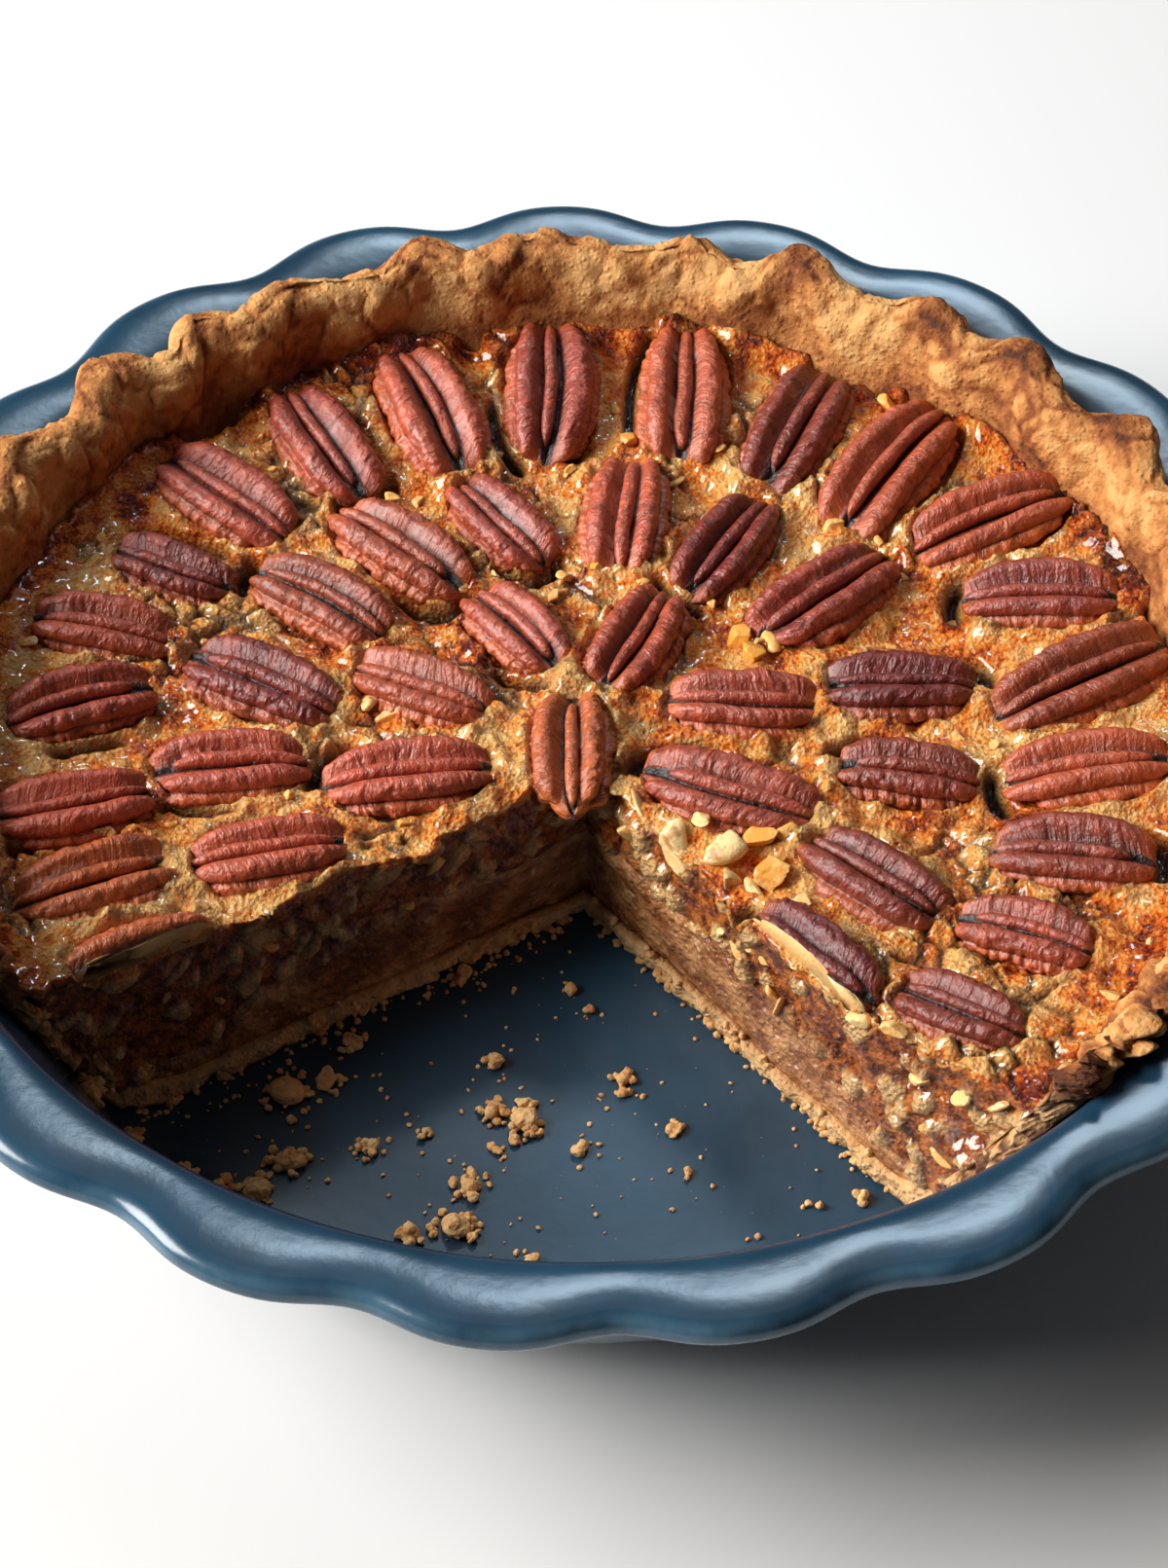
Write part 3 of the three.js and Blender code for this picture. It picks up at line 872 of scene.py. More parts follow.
    def wall_reach(self, part: Array, height: Array | float) -> Array:
        """Distance from the apex to where a filling ends, just inside the pastry.

        Args:
            part: 0 at the right wall to 1 at the left wall.
            height: Height.

        Returns:
            Distances.
        """
        return self.reach(self.right_bearing + part * self.span, self.pastry_wall(height) + self.lap)

    def top(self, radius: Array) -> Array:
        """Height of the pie's top at a radius, before its crags."""
        part = np.clip((radius - self.rise_start) / (self.rise_end - self.rise_start), 0.0, 1.0)
        return self.surface + self.surface_rise * part**1.4


PLAN = PiePlan()


# ---- Dish ----


@dataclass
class Dish:
    """Fluted dish, turned and glazed.

    Attributes:
        flutes: Waves round the rim.
        flute_depth: How far a wave swings out and in.
        flute_lift: How far it swings up and down.
        segments: Steps round the dish.
        steps: Steps between neighbouring points of the profile.
        wobble: How far the rim strays from its level.
        edge_radius: Radius at which the glaze has drawn back the most.
        seed: Number that picks how the rim strays.
        profile: Radius, height and share of the wave, from the axis below round to the axis above.
    """

    flutes: int = 19
    flute_depth: float = 2.0
    flute_lift: float = 0.45
    segments: int = 456
    steps: int = 7
    wobble: float = 0.12
    edge_radius: float = 129.6
    seed: int = 3
    profile: tuple[Triple, ...] = (
        (0.0, 0.0, 0.0), (40.0, 0.0, 0.0), (85.0, 0.0, 0.0), (87.6, 0.9, 0.0), (95.8, 9.6, 0.0),
        (104.1, 19.2, 0.0), (111.6, 36.0, 0.0), (118.6, 51.6, 0.1), (121.4, 54.6, 0.3),
        (124.6, 55.1, 0.7), (128.2, 55.2, 1.0), (129.9, 56.6, 1.0), (129.7, 58.6, 1.0),
        (128.0, 59.8, 0.97), (125.2, 60.0, 0.85), (121.0, 59.6, 0.5), (117.6, 58.9, 0.2),
        (115.8, 57.8, 0.05), (114.6, 55.8, 0.0), (107.1, 38.6, 0.0), (98.7, 19.4, 0.0), (96.4, 13.4, 0.0),
        (92.2, 8.8, 0.0), (86.0, 7.1, 0.0), (60.0, 7.0, 0.0), (0.0, 7.0, 0.0),
    )

    def flute_phase(self, bearing: Array) -> Array:
        """Phase of the waves; their spacing drifts a little, as hand-finished ware does."""
        return self.flutes * bearing + 0.7 + 0.35 * np.cos(bearing) - 0.55 * np.sin(2.0 * bearing)

    def build(self) -> bpy.types.Object:
        """Makes the dish.

        Returns:
            The finished piece.
        """
        knots = np.array(self.profile)
        line = smooth_line(knots[1:-1], self.steps)
        bearing = np.linspace(0.0, 2.0 * math.pi, self.segments, endpoint=False)
        swing = np.cos(self.flute_phase(bearing))
        # The crests are broader than the hollows, as a thumbed rim is.
        swing = swing - 0.14 * np.cos(2.0 * self.flute_phase(bearing))
        radius = line[:, 0:1] + self.flute_depth * line[:, 2:3] * swing
        height = line[:, 1:2] + self.flute_lift * line[:, 2:3] * swing
        points = np.stack([radius * np.cos(bearing), radius * np.sin(bearing), height], axis=-1)
        points = points.reshape(-1, 3)
        points[:, 2] += self.wobble * Noise(self.seed).smooth(points, 45.0) * (points[:, 2] > 50.0)
        points = np.clip(points, np.array(CAD_BOX[0]) / MM, np.array(CAD_BOX[1]) / MM)
        rows = len(line)
        faces = closed_tube(rows, self.segments)
        parts = MeshParts()
        ring = np.repeat(np.arange(rows), self.segments)
        edge = bump_at(line[:, 0], self.edge_radius, 1.6) * (line[:, 1] > 54.0)
        floor = ease(line[:, 1], 10.0, 7.5) * (np.arange(rows) > rows / 2)
        parts.add(points, faces, edge=edge[ring], floor=floor[ring])
        piece = parts.piece("glazed_dish", DishGlaze().build())
        return dress(piece, Slot.DISH, "dish")


def smooth_line(knots: Array, steps: int | Sequence[int]) -> Array:
    """Rounds a line through knots.

    Args:
        knots: Points of the line, shape (n, k).
        steps: Steps between neighbouring knots, one number for all or one for each gap.

    Returns:
        The finer line, with every knot on it.
    """
    padded = np.concatenate([2 * knots[:1] - knots[1:2], knots, 2 * knots[-1:] - knots[-2:-1]])
    counts = [steps] * (len(knots) - 1) if isinstance(steps, int) else steps
    pieces = []
    for count, before, here, after, beyond in zip(counts, padded, padded[1:], padded[2:], padded[3:]):
        part = np.linspace(0.0, 1.0, count, endpoint=False)[:, None]
        gap = np.linalg.norm(after - here)
        slope_in = (after - before) / max(np.linalg.norm(after - before), 1e-9) * gap
        slope_out = (beyond - here) / max(np.linalg.norm(beyond - here), 1e-9) * gap
        square, cube = part**2, part**3
        pieces.append(
            (2 * cube - 3 * square + 1) * here
            + (cube - 2 * square + part) * slope_in
            + (3 * square - 2 * cube) * after
            + (cube - square) * slope_out
        )
    return np.concatenate([*pieces, knots[-1:]])


# ---- Pastry ----


@dataclass
class PastryCase:
    """Crimped pastry case, rolled over the dish's edge and broken where the slice came out.

    Attributes:
        outer: Radius, height and share of the crimp along the side against the dish.
        inner: The same along the side against the filling, knot for knot.
        crimps: Pinches round the rim.
        crimp_depth: How far a pinch swings out and in.
        crimp_lift: How far it swings up.
        crimp_start: Bearing of the first pinch.
        columns: Steps round the rim.
        end_gap: How far the case stops short of a cut, which its end fills.
        end_depth: Depth of the crumbly ends at the cut.
        seed: Number that picks the lumps and cracks.
    """

    outer: tuple[Triple, ...] = (
        (0.0, 7.4, 0.0), (86.0, 7.4, 0.0), (91.7, 9.4, 0.0), (95.9, 13.8, 0.0), (98.2, 19.2, 0.0),
        (106.2, 38.0, 0.0), (114.0, 56.3, 0.0), (115.6, 60.5, 0.5), (117.4, 62.0, 1.0),
        (116.6, 63.6, 1.0), (114.4, 64.2, 1.0),
    )
    inner: tuple[Triple, ...] = (
        (0.0, 11.4, 0.0), (81.5, 11.4, 0.0), (88.2, 13.4, 0.0), (92.8, 17.0, 0.0), (95.3, 22.5, 0.0),
        (101.6, 37.0, 0.0), (106.6, 49.0, 0.25), (107.8, 54.5, 0.55), (109.0, 59.4, 0.8),
        (111.2, 63.0, 0.95), (114.4, 64.2, 1.0),
    )
    crimps: int = 30
    crimp_depth: float = 2.4
    crimp_lift: float = 1.3
    crimp_start: float = 93.0
    columns: int = 700
    end_gap: float = 1.6
    end_depth: float = 4.0
    seed: int = 11

    def shape(self, line: Array, part: Array, facing: float) -> tuple[Array, Array]:
        """Bends a profile round the pie.

        Args:
            line: Radius, height and crimp share of each row, shape (rows, 3).
            part: Place from the right wall, 0, to the left wall, 1, of each column.
            facing: 1 on the outer side, -1 on the inner side.

        Returns:
            Places, shape (rows, columns, 3), and how browned each is, with painted shade in cracks and
            painted light and shade on the crests.
        """
        radius, height, share = (line[:, k : k + 1] + 0.0 * part[None, :] for k in range(3))
        fallen = ease(height, 38.0, 47.0)
        guess = PLAN.spot(part[None, :] + 0.0 * radius, radius, height, fallen)
        bearing = np.arctan2(guess[..., 1], guess[..., 0])
        drift = 0.6 * np.sin(3.0 * bearing) + 0.5 * np.sin(5.0 * bearing + 1.0)
        phase = self.crimps * (bearing - math.radians(self.crimp_start)) + drift
        swing = np.cos(phase + 0.5 * np.sin(2.0 * bearing * 7.0))
        strength = 0.75 + 0.45 * np.sin(4.0 * bearing + 2.0) * np.sin(7.0 * bearing)
        flat = guess.reshape(-1, 3)
        lump = Noise(self.seed).fractal(flat, 13.0, 3).reshape(radius.shape)
        grit = Noise(self.seed + 1).fractal(flat, 3.6, 3, 0.6).reshape(radius.shape)
        near, gap, mark = Noise(self.seed + 2).cells(flat + 1.5 * lump.reshape(-1, 1), 7.0)
        blob = ((mark - 0.4) * 1.5 * ease(gap, 0.0, 0.3) + 0.7 * (0.5 - near)).reshape(radius.shape)
        crease = ease(gap, 0.16, 0.0).reshape(radius.shape)
        rise = ease(height, 46.0, 58.0)
        torn = rise * ease(part, 0.2, 0.1)[None, :]
        wild = rise + 1.2 * torn
        radius = radius + share * self.crimp_depth * swing * strength
        blob = blob * (0.4 * rise + 1.3 * torn)
        radius = radius + facing * (wild * (0.9 * lump + 0.6 * grit - 0.3 * crease) + blob)
        radius = radius - facing * 1.3 * torn * crease
        lift = share * self.crimp_lift * np.maximum(swing, -0.7) * strength
        height = height + lift + (wild * (1.0 * lump + 0.45 * grit - 0.4 * crease) + 0.8 * blob) * share
        height = np.minimum(height, 65.2 + 0.3 * grit)
        distance = self.from_apex(part, radius)
        points = PLAN.spot(part[None, :] + 0.0 * radius, distance, height, fallen)
        # Crests are browned, less towards the left and more towards the back right: painted light and shade
        # from the window on the left.
        crest = ease(height, 58.0, 64.5) * (0.45 + 0.4 * swing) * (0.6 + 0.5 * np.cos(bearing - 0.7))
        # The inner side below the rim is made darker.
        inner_darker = 0.45 * ease(height, 60.0, 50.0) * (facing < 0)
        # Painted shade in the pastry's creases and tears.
        crack_shade = crease * (0.35 * rise + 0.6 * torn)
        bake = np.clip(0.16 + 0.4 * crest + inner_darker + 0.4 * lump * rise + crack_shade, 0.0, 1.0)
        return points, bake

    @staticmethod
    def from_apex(part: Array, radius: Array) -> Array:
        """Distance from the apex to a radius about the pie's centre, column by column."""
        bearing = PLAN.right_bearing + part * PLAN.span
        return PLAN.reach(np.broadcast_to(bearing[None, :], radius.shape), np.maximum(radius, 2.2))

    def sides(self, steps: tuple[int, ...], part: Array) -> tuple[Array, Array, Array, Array]:
        """Bends both profiles round the pie.

        Args:
            steps: Steps in each gap of the profiles.
            part: Place from the right wall, 0, to the left wall, 1, of each column.

        Returns:
            Places and browning of the outer side, then of the inner side.
        """
        outer = self.shape(smooth_line(np.array(self.outer), steps), part, 1.0)
        return *outer, *self.shape(smooth_line(np.array(self.inner), steps), part, -1.0)

    def add_case(self, parts: MeshParts) -> None:
        """Adds the case itself, which stops just short of both cuts."""
        margin = PLAN.share(self.end_gap)
        part = np.linspace(margin, 1.0 - margin, self.columns)
        outer, bake_light_out, inner, bake_light_in = self.sides((5, 2, 2, 2, 3, 5, 5, 4, 4, 4), part)
        rows = np.concatenate([outer, inner[-2::-1]])
        bake = np.concatenate([bake_light_out, bake_light_in[-2::-1]])
        count = len(rows)
        last = (count - 1) * self.columns
        faces = grid_faces(count, self.columns)
        faces += [[k * self.columns + c for k in range(count)] for c in (0, self.columns - 1)]
        faces += [[c, c + 1, last + c + 1, last + c] for c in range(self.columns - 1)]
        parts.add(rows.reshape(-1, 3), faces, bake=bake.ravel(), crumb=np.zeros(bake.size))

    def add_end(self, parts: MeshParts, end: int) -> None:
        """Adds the crumbly face of one cut.

        Args:
            parts: Where it goes.
            end: 0 at the right wall, 1 at the left wall.
        """
        across = 7
        part = np.array([float(end), end + (1.0 - 2.0 * end) * PLAN.share(self.end_depth)])
        outer, bake_light_out, inner, bake_light_in = self.sides((130, 8, 8, 8, 28, 30, 8, 4, 4, 4), part)
        share = np.linspace(0.0, 1.0, across)[None, :, None]
        ragged = Noise(self.seed + 9).fractal(inner[:, 0], 3.5, 3)[:, None, None]
        share = share * (1.0 + 0.5 * ragged * ease(inner[:, 0, 2], 11.0, 16.0)[:, None, None])
        front = outer[:, 0:1] * (1.0 - share) + inner[:, 0:1] * share
        flat = front.reshape(-1, 3)
        noise = Noise(self.seed + 5 + end)
        rise = ease(flat[:, 2], 12.0, 26.0)
        near, gap, mark = noise.cells(flat, 4.2)
        rough = 1.3 * noise.fractal(flat, 5.0, 4, 0.6) - 0.9 * ease(near, 0.5, 0.1)
        rough = rough + rise * (3.4 * (mark - 0.45) * ease(gap, 0.0, 0.2) + 1.3 * noise.fractal(flat, 2.2, 3))
        place = np.linspace(0.0, 1.0, across)
        hem = bump_at(place, 0.0, 0.3) + 0.6 * bump_at(place, 1.0, 0.2)
        rough = rough + 1.1 * ease(flat[:, 2], 15.0, 11.5)
        rough = rough.reshape(front.shape[:2]) - 0.5 * hem[None, :] + 0.5
        front = front + rough[..., None] * PLAN.side(end)
        back = np.stack([inner[:, 1], outer[:, 1]], axis=1)
        ring = np.concatenate([front, back], axis=1)
        count, around = ring.shape[:2]
        share = share[..., 0]
        bake_light_front = bake_light_out[:, 0:1] * (1 - share) + bake_light_in[:, 0:1] * share
        bake = np.concatenate([bake_light_front, bake_light_in[:, 1:], bake_light_out[:, 1:]], axis=1)
        low = ease(ring[..., 2], 62.0, 50.0)
        crumb = (0.85 * low).ravel() * np.tile(np.r_[0.7, np.ones(across - 2), 0.7, 0, 0], count)
        patch = ease(noise.fractal(flat + 9.0, 6.0, 3), 0.04, 0.26)
        # The end face is darkened in its cracks, which is painted shade, and in patches of char.
        crack_shade_and_char = np.zeros(ring.shape[:2])
        crack_shade_and_char[:, :across] = (rise * np.maximum(ease(gap, 0.16, 0.03), 0.8 * patch)).reshape(count, across)
        bake = np.clip(0.6 * bake + crack_shade_and_char, 0.0, 1.0).ravel()
        crumb = crumb * (1.0 - crack_shade_and_char.ravel())
        parts.add(ring.reshape(-1, 3), closed_tube(count, around), bake=bake, crumb=crumb)

    def build(self) -> bpy.types.Object:
        """Makes the case with both its ends.

        Returns:
            The finished piece.
        """
        parts = MeshParts()
        self.add_case(parts)
        self.add_end(parts, 0)
        self.add_end(parts, 1)
        piece = parts.piece("pastry_case", BakedPastry().build())
        return dress(piece, Slot.PASTRY, "crust")


# ---- Pecan halves ----


@dataclass(frozen=True)
class Strand:
    """One of the long rounded ribs that make up a half, in shares of the half's own half-width.

    Attributes:
        across: Its middle, across the half.
        height: Its middle, above the underside.
        thick: Its radius.
        middle: Its middle along, -1 to 1.
        reach: Its half-length, where the half's own is 1.
        knuckle: How strongly it is wrinkled.
    """

    across: float
    height: float
    thick: float
    middle: float
    reach: float
    knuckle: float


@dataclass
class PecanHalf:
    """One pecan half: two long lobes either side of a sunken ridge, and a wrinkled flank outside each.

    Attributes:
        name: Its node.
        origin: Middle of its underside.
        axes: Unit vectors along it, across it and up, as rows.
        length: Its length.
        width: Its width.
        seed: Number that picks its shape.
        cuts: Upright planes that the knife took it off at, each a point and a normal to what is gone.
        stations: Steps along it.
        over: Steps across its top.
        under: Steps across its underside.
        centre: Height of the line that its outlines are drawn round, as a share of its half-width.
    """

    name: str
    origin: Array
    axes: Array
    length: float
    width: float
    seed: int
    cuts: list[tuple[Array, Array]] = field(default_factory=list)
    stations: int = 104
    over: int = 96
    under: int = 10
    centre: float = 0.14

    @classmethod
    def from_node(cls, name: str, seed: int) -> "PecanHalf":
        """Reads a half's place and size from its solid."""
        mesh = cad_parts[name].data
        corners = np.array([vertex.co for vertex in mesh.vertices]) / MM
        corners = np.unique(np.round(corners, 3), axis=0)
        middle = corners.mean(axis=0)
        spread = np.linalg.svd(corners - middle, full_matrices=False)[2]
        along, up = spread[0], spread[2] * math.copysign(1.0, spread[2][2])
        axes = np.stack([along, np.cross(up, along), up])
        local = (corners - middle) @ axes.T
        low, high = local.min(axis=0), local.max(axis=0)
        centre = (low + high) / 2.0
        centre[2] = low[2]
        size = high - low
        return cls(name, middle + centre @ axes, axes, size[0], size[1], seed)

    def local(self, points: Array) -> Array:
        """Places along, across and above the half."""
        return (points - self.origin) @ self.axes.T

    def strands(self, rng: np.random.Generator) -> list[Strand]:
        """Draws the half's ribs: the ridge, then a lobe and a flank on each side."""
        tip = rng.choice([-1.0, 1.0])
        reach = rng.uniform(0.8, 0.92)
        across, height = rng.uniform(-0.04, 0.04), rng.uniform(0.52, 0.62)
        rows = [Strand(across, height, rng.uniform(0.13, 0.17), tip * (0.94 - reach), reach, 0.35)]
        lobe = ((0.9, 0.99), 0.99, (0.51, 0.57), (0.54, 0.62), (0.22, 0.27), 1.0)
        flank = ((0.76, 0.9), 0.92, (0.76, 0.81), (0.24, 0.32), (0.17, 0.2), 2.0)
        for side, kind in ((-1.0, lobe), (-1.0, flank), (1.0, lobe), (1.0, flank)):
            reaches, room, offsets, heights, radii, knuckle = kind
            reach = rng.uniform(*reaches)
            lean = rng.uniform(-1.0, 1.0) * (room - reach)
            across = side * rng.uniform(*offsets)
            rows.append(Strand(across, rng.uniform(*heights), rng.uniform(*radii), lean, reach, knuckle))
        return rows

    def outline(self, t: Array, angle: Array, rng: np.random.Generator) -> tuple[Array, Array, Array, Array]:
        """Distance from the centre line out to the ribs.

        Args:
            t: Place along, -1 to 1.
            angle: Direction round the centre line, 0 to pi over the top.
            rng: Source of the half's own draws.

        Returns:
            Distance in half-widths, darkness of the grooves with painted shade, share of flank, and strength
            of wrinkles.
        """
        noise = Noise(self.seed + 40)
        line = np.stack([t * 2.0, 0 * t, 0 * t], axis=1)
        pinch = rng.uniform(0.24, 0.4)
        taper = rng.uniform(-0.12, 0.12)
        spread = (1.0 - pinch * np.abs(t) ** 2.3) * (1.0 + taper * t)
        arch = 1.0 - 0.42 * np.abs(t) ** 2.6
        hull = np.sqrt(np.clip(1.0 - np.abs(t) ** 4.0, 0.0, 1.0))
        across, up = np.cos(angle), np.sin(angle)
        exits = [hull * (0.2 + 0.35 * np.abs(across))]
        ribs = self.strands(rng)
        for number, rib in enumerate(ribs):
            wave = 0.035 * noise.smooth(line + 7.0 * number, 0.9)
            side = (rib.across + wave) * spread
            height = rib.height * arch - self.centre
            end = np.clip(1.0 - np.abs((t - rib.middle) / rib.reach) ** 5.0, 0.0, 1.0)
            swell = 1.0 + 0.1 * noise.smooth(line + 7.0 * number + 3.0, 0.7)
            thick = rib.thick * np.sqrt(end) * swell * (0.82 + 0.18 * spread)
            along = side * across + height * up
            hit = thick**2 - (side**2 + height**2 - along**2)
            exits.append(np.where(hit > 0.0, along + np.sqrt(np.maximum(hit, 0.0)), 0.0))
        exits = np.array(exits)
        order = np.sort(exits, axis=0)
        top, next_one = order[-1], order[-2]
        winner = np.argmax(exits, axis=0)
        sharp = 60.0
        out = top + np.log(np.exp(sharp * (exits - top)).sum(axis=0)) / sharp
        # Darkening in the slots and seams between ribs: partly their own colour, partly painted shade.
        slot = ease(np.abs(across), 0.6, 0.4) * ease(out * up / arch, 0.5, 0.24)
        seam = bump_at(top - next_one, 0.0, 0.05) * (exits[0] < next_one)
        outer = (winner == 3) | (winner == 5)
        knuckle = np.array([0.2, *(rib.knuckle for rib in ribs)])[winner]
        return out, np.maximum(slot, 0.75 * seam), outer.astype(float), knuckle

    def surface(self) -> tuple[Array, dict[str, Array]]:
        """Points of the whole half in its own axes, station by station, with its attributes."""
        rng = np.random.default_rng(self.seed)
        half = self.width / 2.0
        station = -np.cos(np.linspace(0.045, 0.955, self.stations) * math.pi)
        over = np.linspace(0.0, math.pi, self.over)
        under = np.linspace(math.pi, 2.0 * math.pi, self.under + 2)[1:-1]
        net = np.meshgrid(station, np.concatenate([over, under]), indexing="ij")
        t, angle = (values.ravel() for values in net)
        upper = angle <= math.pi + 1e-6
        edge = np.where(np.cos(angle) > 0.0, 0.0, math.pi)
        out, groove, outer, knuckle = self.outline(t, np.where(upper, angle, edge), rng)
        noise = Noise(self.seed)
        x = t * self.length / 2.0
        spot = np.stack([x, half * out * np.cos(angle), half * out * np.sin(angle)], axis=1)
        skew = spot[:, :1] + 0.35 * spot[:, 1:2] * rng.uniform(-1.0, 1.0)
        skew = skew + 0.9 * noise.smooth(spot + 17.0, 3.6)[:, None]
        wave = noise.smooth(np.hstack([skew, spot[:, 1:] * 0.4]) + 3.0, 2.0)
        fine = noise.smooth(np.hstack([skew, spot[:, 1:] * 0.5]) + 31.0, 1.1)
        crease = np.maximum(bump_at(wave, 0.1, 0.2), 0.65 * bump_at(fine, 0.0, 0.25))
        rough = rng.uniform(0.6, 1.5)
        dent = 0.3 * rough * crease * knuckle + 0.17 * noise.fractal(spot + 60.0, 3.0, 3) * (0.5 + knuckle)
        out = np.maximum(out * half - dent * ease(out, 0.25, 0.55), 0.02)
        below = np.sqrt(np.abs(np.sin(angle)))
        y = np.where(upper, np.cos(angle), np.sign(np.cos(angle)) * np.abs(np.cos(angle)) ** 0.6) * out
        z = np.where(upper, self.centre * half + np.sin(angle) * out, self.centre * half * (1.0 - below))
        bend = rng.uniform(-1.2, 1.2) * (1.0 - t**2) + rng.uniform(-0.5, 0.5) * t
        points = np.stack([t * self.length / 2.0 / 0.99, y + bend, np.maximum(z, 0.0)], axis=1)
        roast = rng.choice([0.1, 0.35, 0.65, 0.95], p=[0.2, 0.35, 0.27, 0.18]) + 0.2 * wave
        # Painted light: lighter towards the left and front of the pie, darker towards the back right.
        roast = roast + (0.003 * self.origin[0] + 0.0016 * self.origin[1])
        warm = rng.choice([0.0, 0.1, 0.25, 0.7], p=[0.38, 0.32, 0.2, 0.1])
        flank = 0.4 * outer + ease(np.abs(t), 0.7, 1.0) * rng.uniform(0.1, 0.5) + warm
        # Painted shade in the wrinkles' creases.
        groove = np.clip(groove + 0.22 * crease * rough, 0.0, 1.0) * upper
        shades = {"groove": groove, "flank": np.clip(flank, 0, 1), "roast": np.clip(roast, 0, 1)}
        return points, {**shades, "along": skew[:, 0] + 50.0 * (self.seed % 17), "around": angle * half}

    def build(self, skin: bpy.types.Material, flesh: bpy.types.Material) -> bpy.types.Object:
        """Makes the half.

        Args:
            skin: Finish of its outside.
            flesh: Finish of where it was cut.

        Returns:
            The finished piece.
        """
        points, shades = self.surface()
        faces = closed_tube(self.stations, self.over + self.under)
        parts = MeshParts()
        parts.add(points @ self.axes + self.origin, faces, **shades)
        piece = parts.piece(f"half_{self.name}", skin, flesh)
        for spot, normal in self.cuts:
            slice_mesh(piece.data, spot, normal)
        return dress(piece, Slot.SKIN, self.name)


def slice_mesh(mesh: bpy.types.Mesh, spot: Array, normal: Array) -> None:
    """Cuts a closed mesh at a plane and closes the cut with the second material.

    Args:
        mesh: Mesh to cut in place.
        spot: Point of the plane, in millimetres.
        normal: Side that goes.
    """
    work = bmesh.new()
    work.from_mesh(mesh)
    everything = [*work.verts, *work.edges, *work.faces]
    cut = bmesh.ops.bisect_plane(
        work, geom=everything, plane_co=Vector(spot) * MM, plane_no=Vector(normal), clear_outer=True
    )
    edges = [part for part in cut["geom_cut"] if isinstance(part, bmesh.types.BMEdge)]
    closed = bmesh.ops.contextual_create(work, geom=edges)
    for face in closed["faces"]:
        face.material_index = 1
    bmesh.ops.recalc_face_normals(work, faces=work.faces)
    work.to_mesh(mesh)
    work.free()


@dataclass
class PecanRings:
    """All the halves laid out on top of the pie.

    Attributes:
        count: Number of halves.
        sink: Depth of a half's underside below the pie's top.
        cut_rows: Halves that the knife went through, as node, ring centre, ring radius, bearing, length
            and turn.
        halves: The halves, once laid out.
    """

    count: int = 40
    sink: float = 1.5
    cut_rows: tuple[tuple[str, tuple[float, float], float, float, float, float], ...] = (
        ("pecan_01", (0.0, 4.0), 88.0, 216.0, 28.0, -8.0),
        ("pecan_20", (0.0, 4.0), 87.0, 315.0, 24.0, 14.0),
        ("pecan_33", (-1.0, 0.5), 60.0, 311.0, 28.0, 1.0),
    )
    halves: list[PecanHalf] = field(default_factory=list)

    def place_cut_half(self, row: tuple, seed: int) -> PecanHalf:
        """Places a half that the knife went through, at its whole size."""
        name, centre, radius, bearing, length, turn = row
        spot = np.array(centre) + radius * PLAN.direction(bearing)
        away = float(np.hypot(*spot))
        ends = PLAN.top(np.array([away - length / 2.0, away + length / 2.0]))
        slope = (ends[1] - ends[0]) / length
        up = np.array([-slope * spot[0] / away, -slope * spot[1] / away, 1.0])
        up /= np.linalg.norm(up)
        heading = np.array([*PLAN.direction(bearing + turn), 0.0])
        across = np.cross(up, heading)
        across /= np.linalg.norm(across)
        axes = np.stack([np.cross(across, up), across, up])
        origin = np.array([*spot, ends.mean() - self.sink])
        return PecanHalf(name, origin, axes, length, 0.45 * length + 3.8, seed, [self.knife(name)])

    @staticmethod
    def knife(name: str) -> tuple[Array, Array]:
        """Plane that took a half off: the left wall, the right wall or its broken stretch."""
        apex = np.array(PLAN.apex)
        if name == "pecan_20":
            near, far = PLAN.broken_wall
            heading = (far - near) / np.linalg.norm(far - near)
            return np.array([*(apex + near), 0.0]), np.array([heading[1], -heading[0], 0.0])
        return np.array([*apex, 0.0]), PLAN.side(1 if name == "pecan_01" else 0)

    def lay_out(self) -> None:
        """Finds the place of every half."""
        rows = {row[0]: row for row in self.cut_rows}
        for k in range(1, self.count + 1):
            name = f"pecan_{k:02d}"
            if name in rows:
                self.halves.append(self.place_cut_half(rows[name], 100 + k))
            else:
                self.halves.append(PecanHalf.from_node(name, 100 + k))

    def build(self) -> None:
        """Makes every half."""
        skin = PecanSkin().build()
        flesh = NutFlesh(cream=srgb(236, 194, 128), toast=srgb(206, 130, 56)).build()
        for half in self.halves:
            half.build(skin, flesh)


# ---- Filling ----


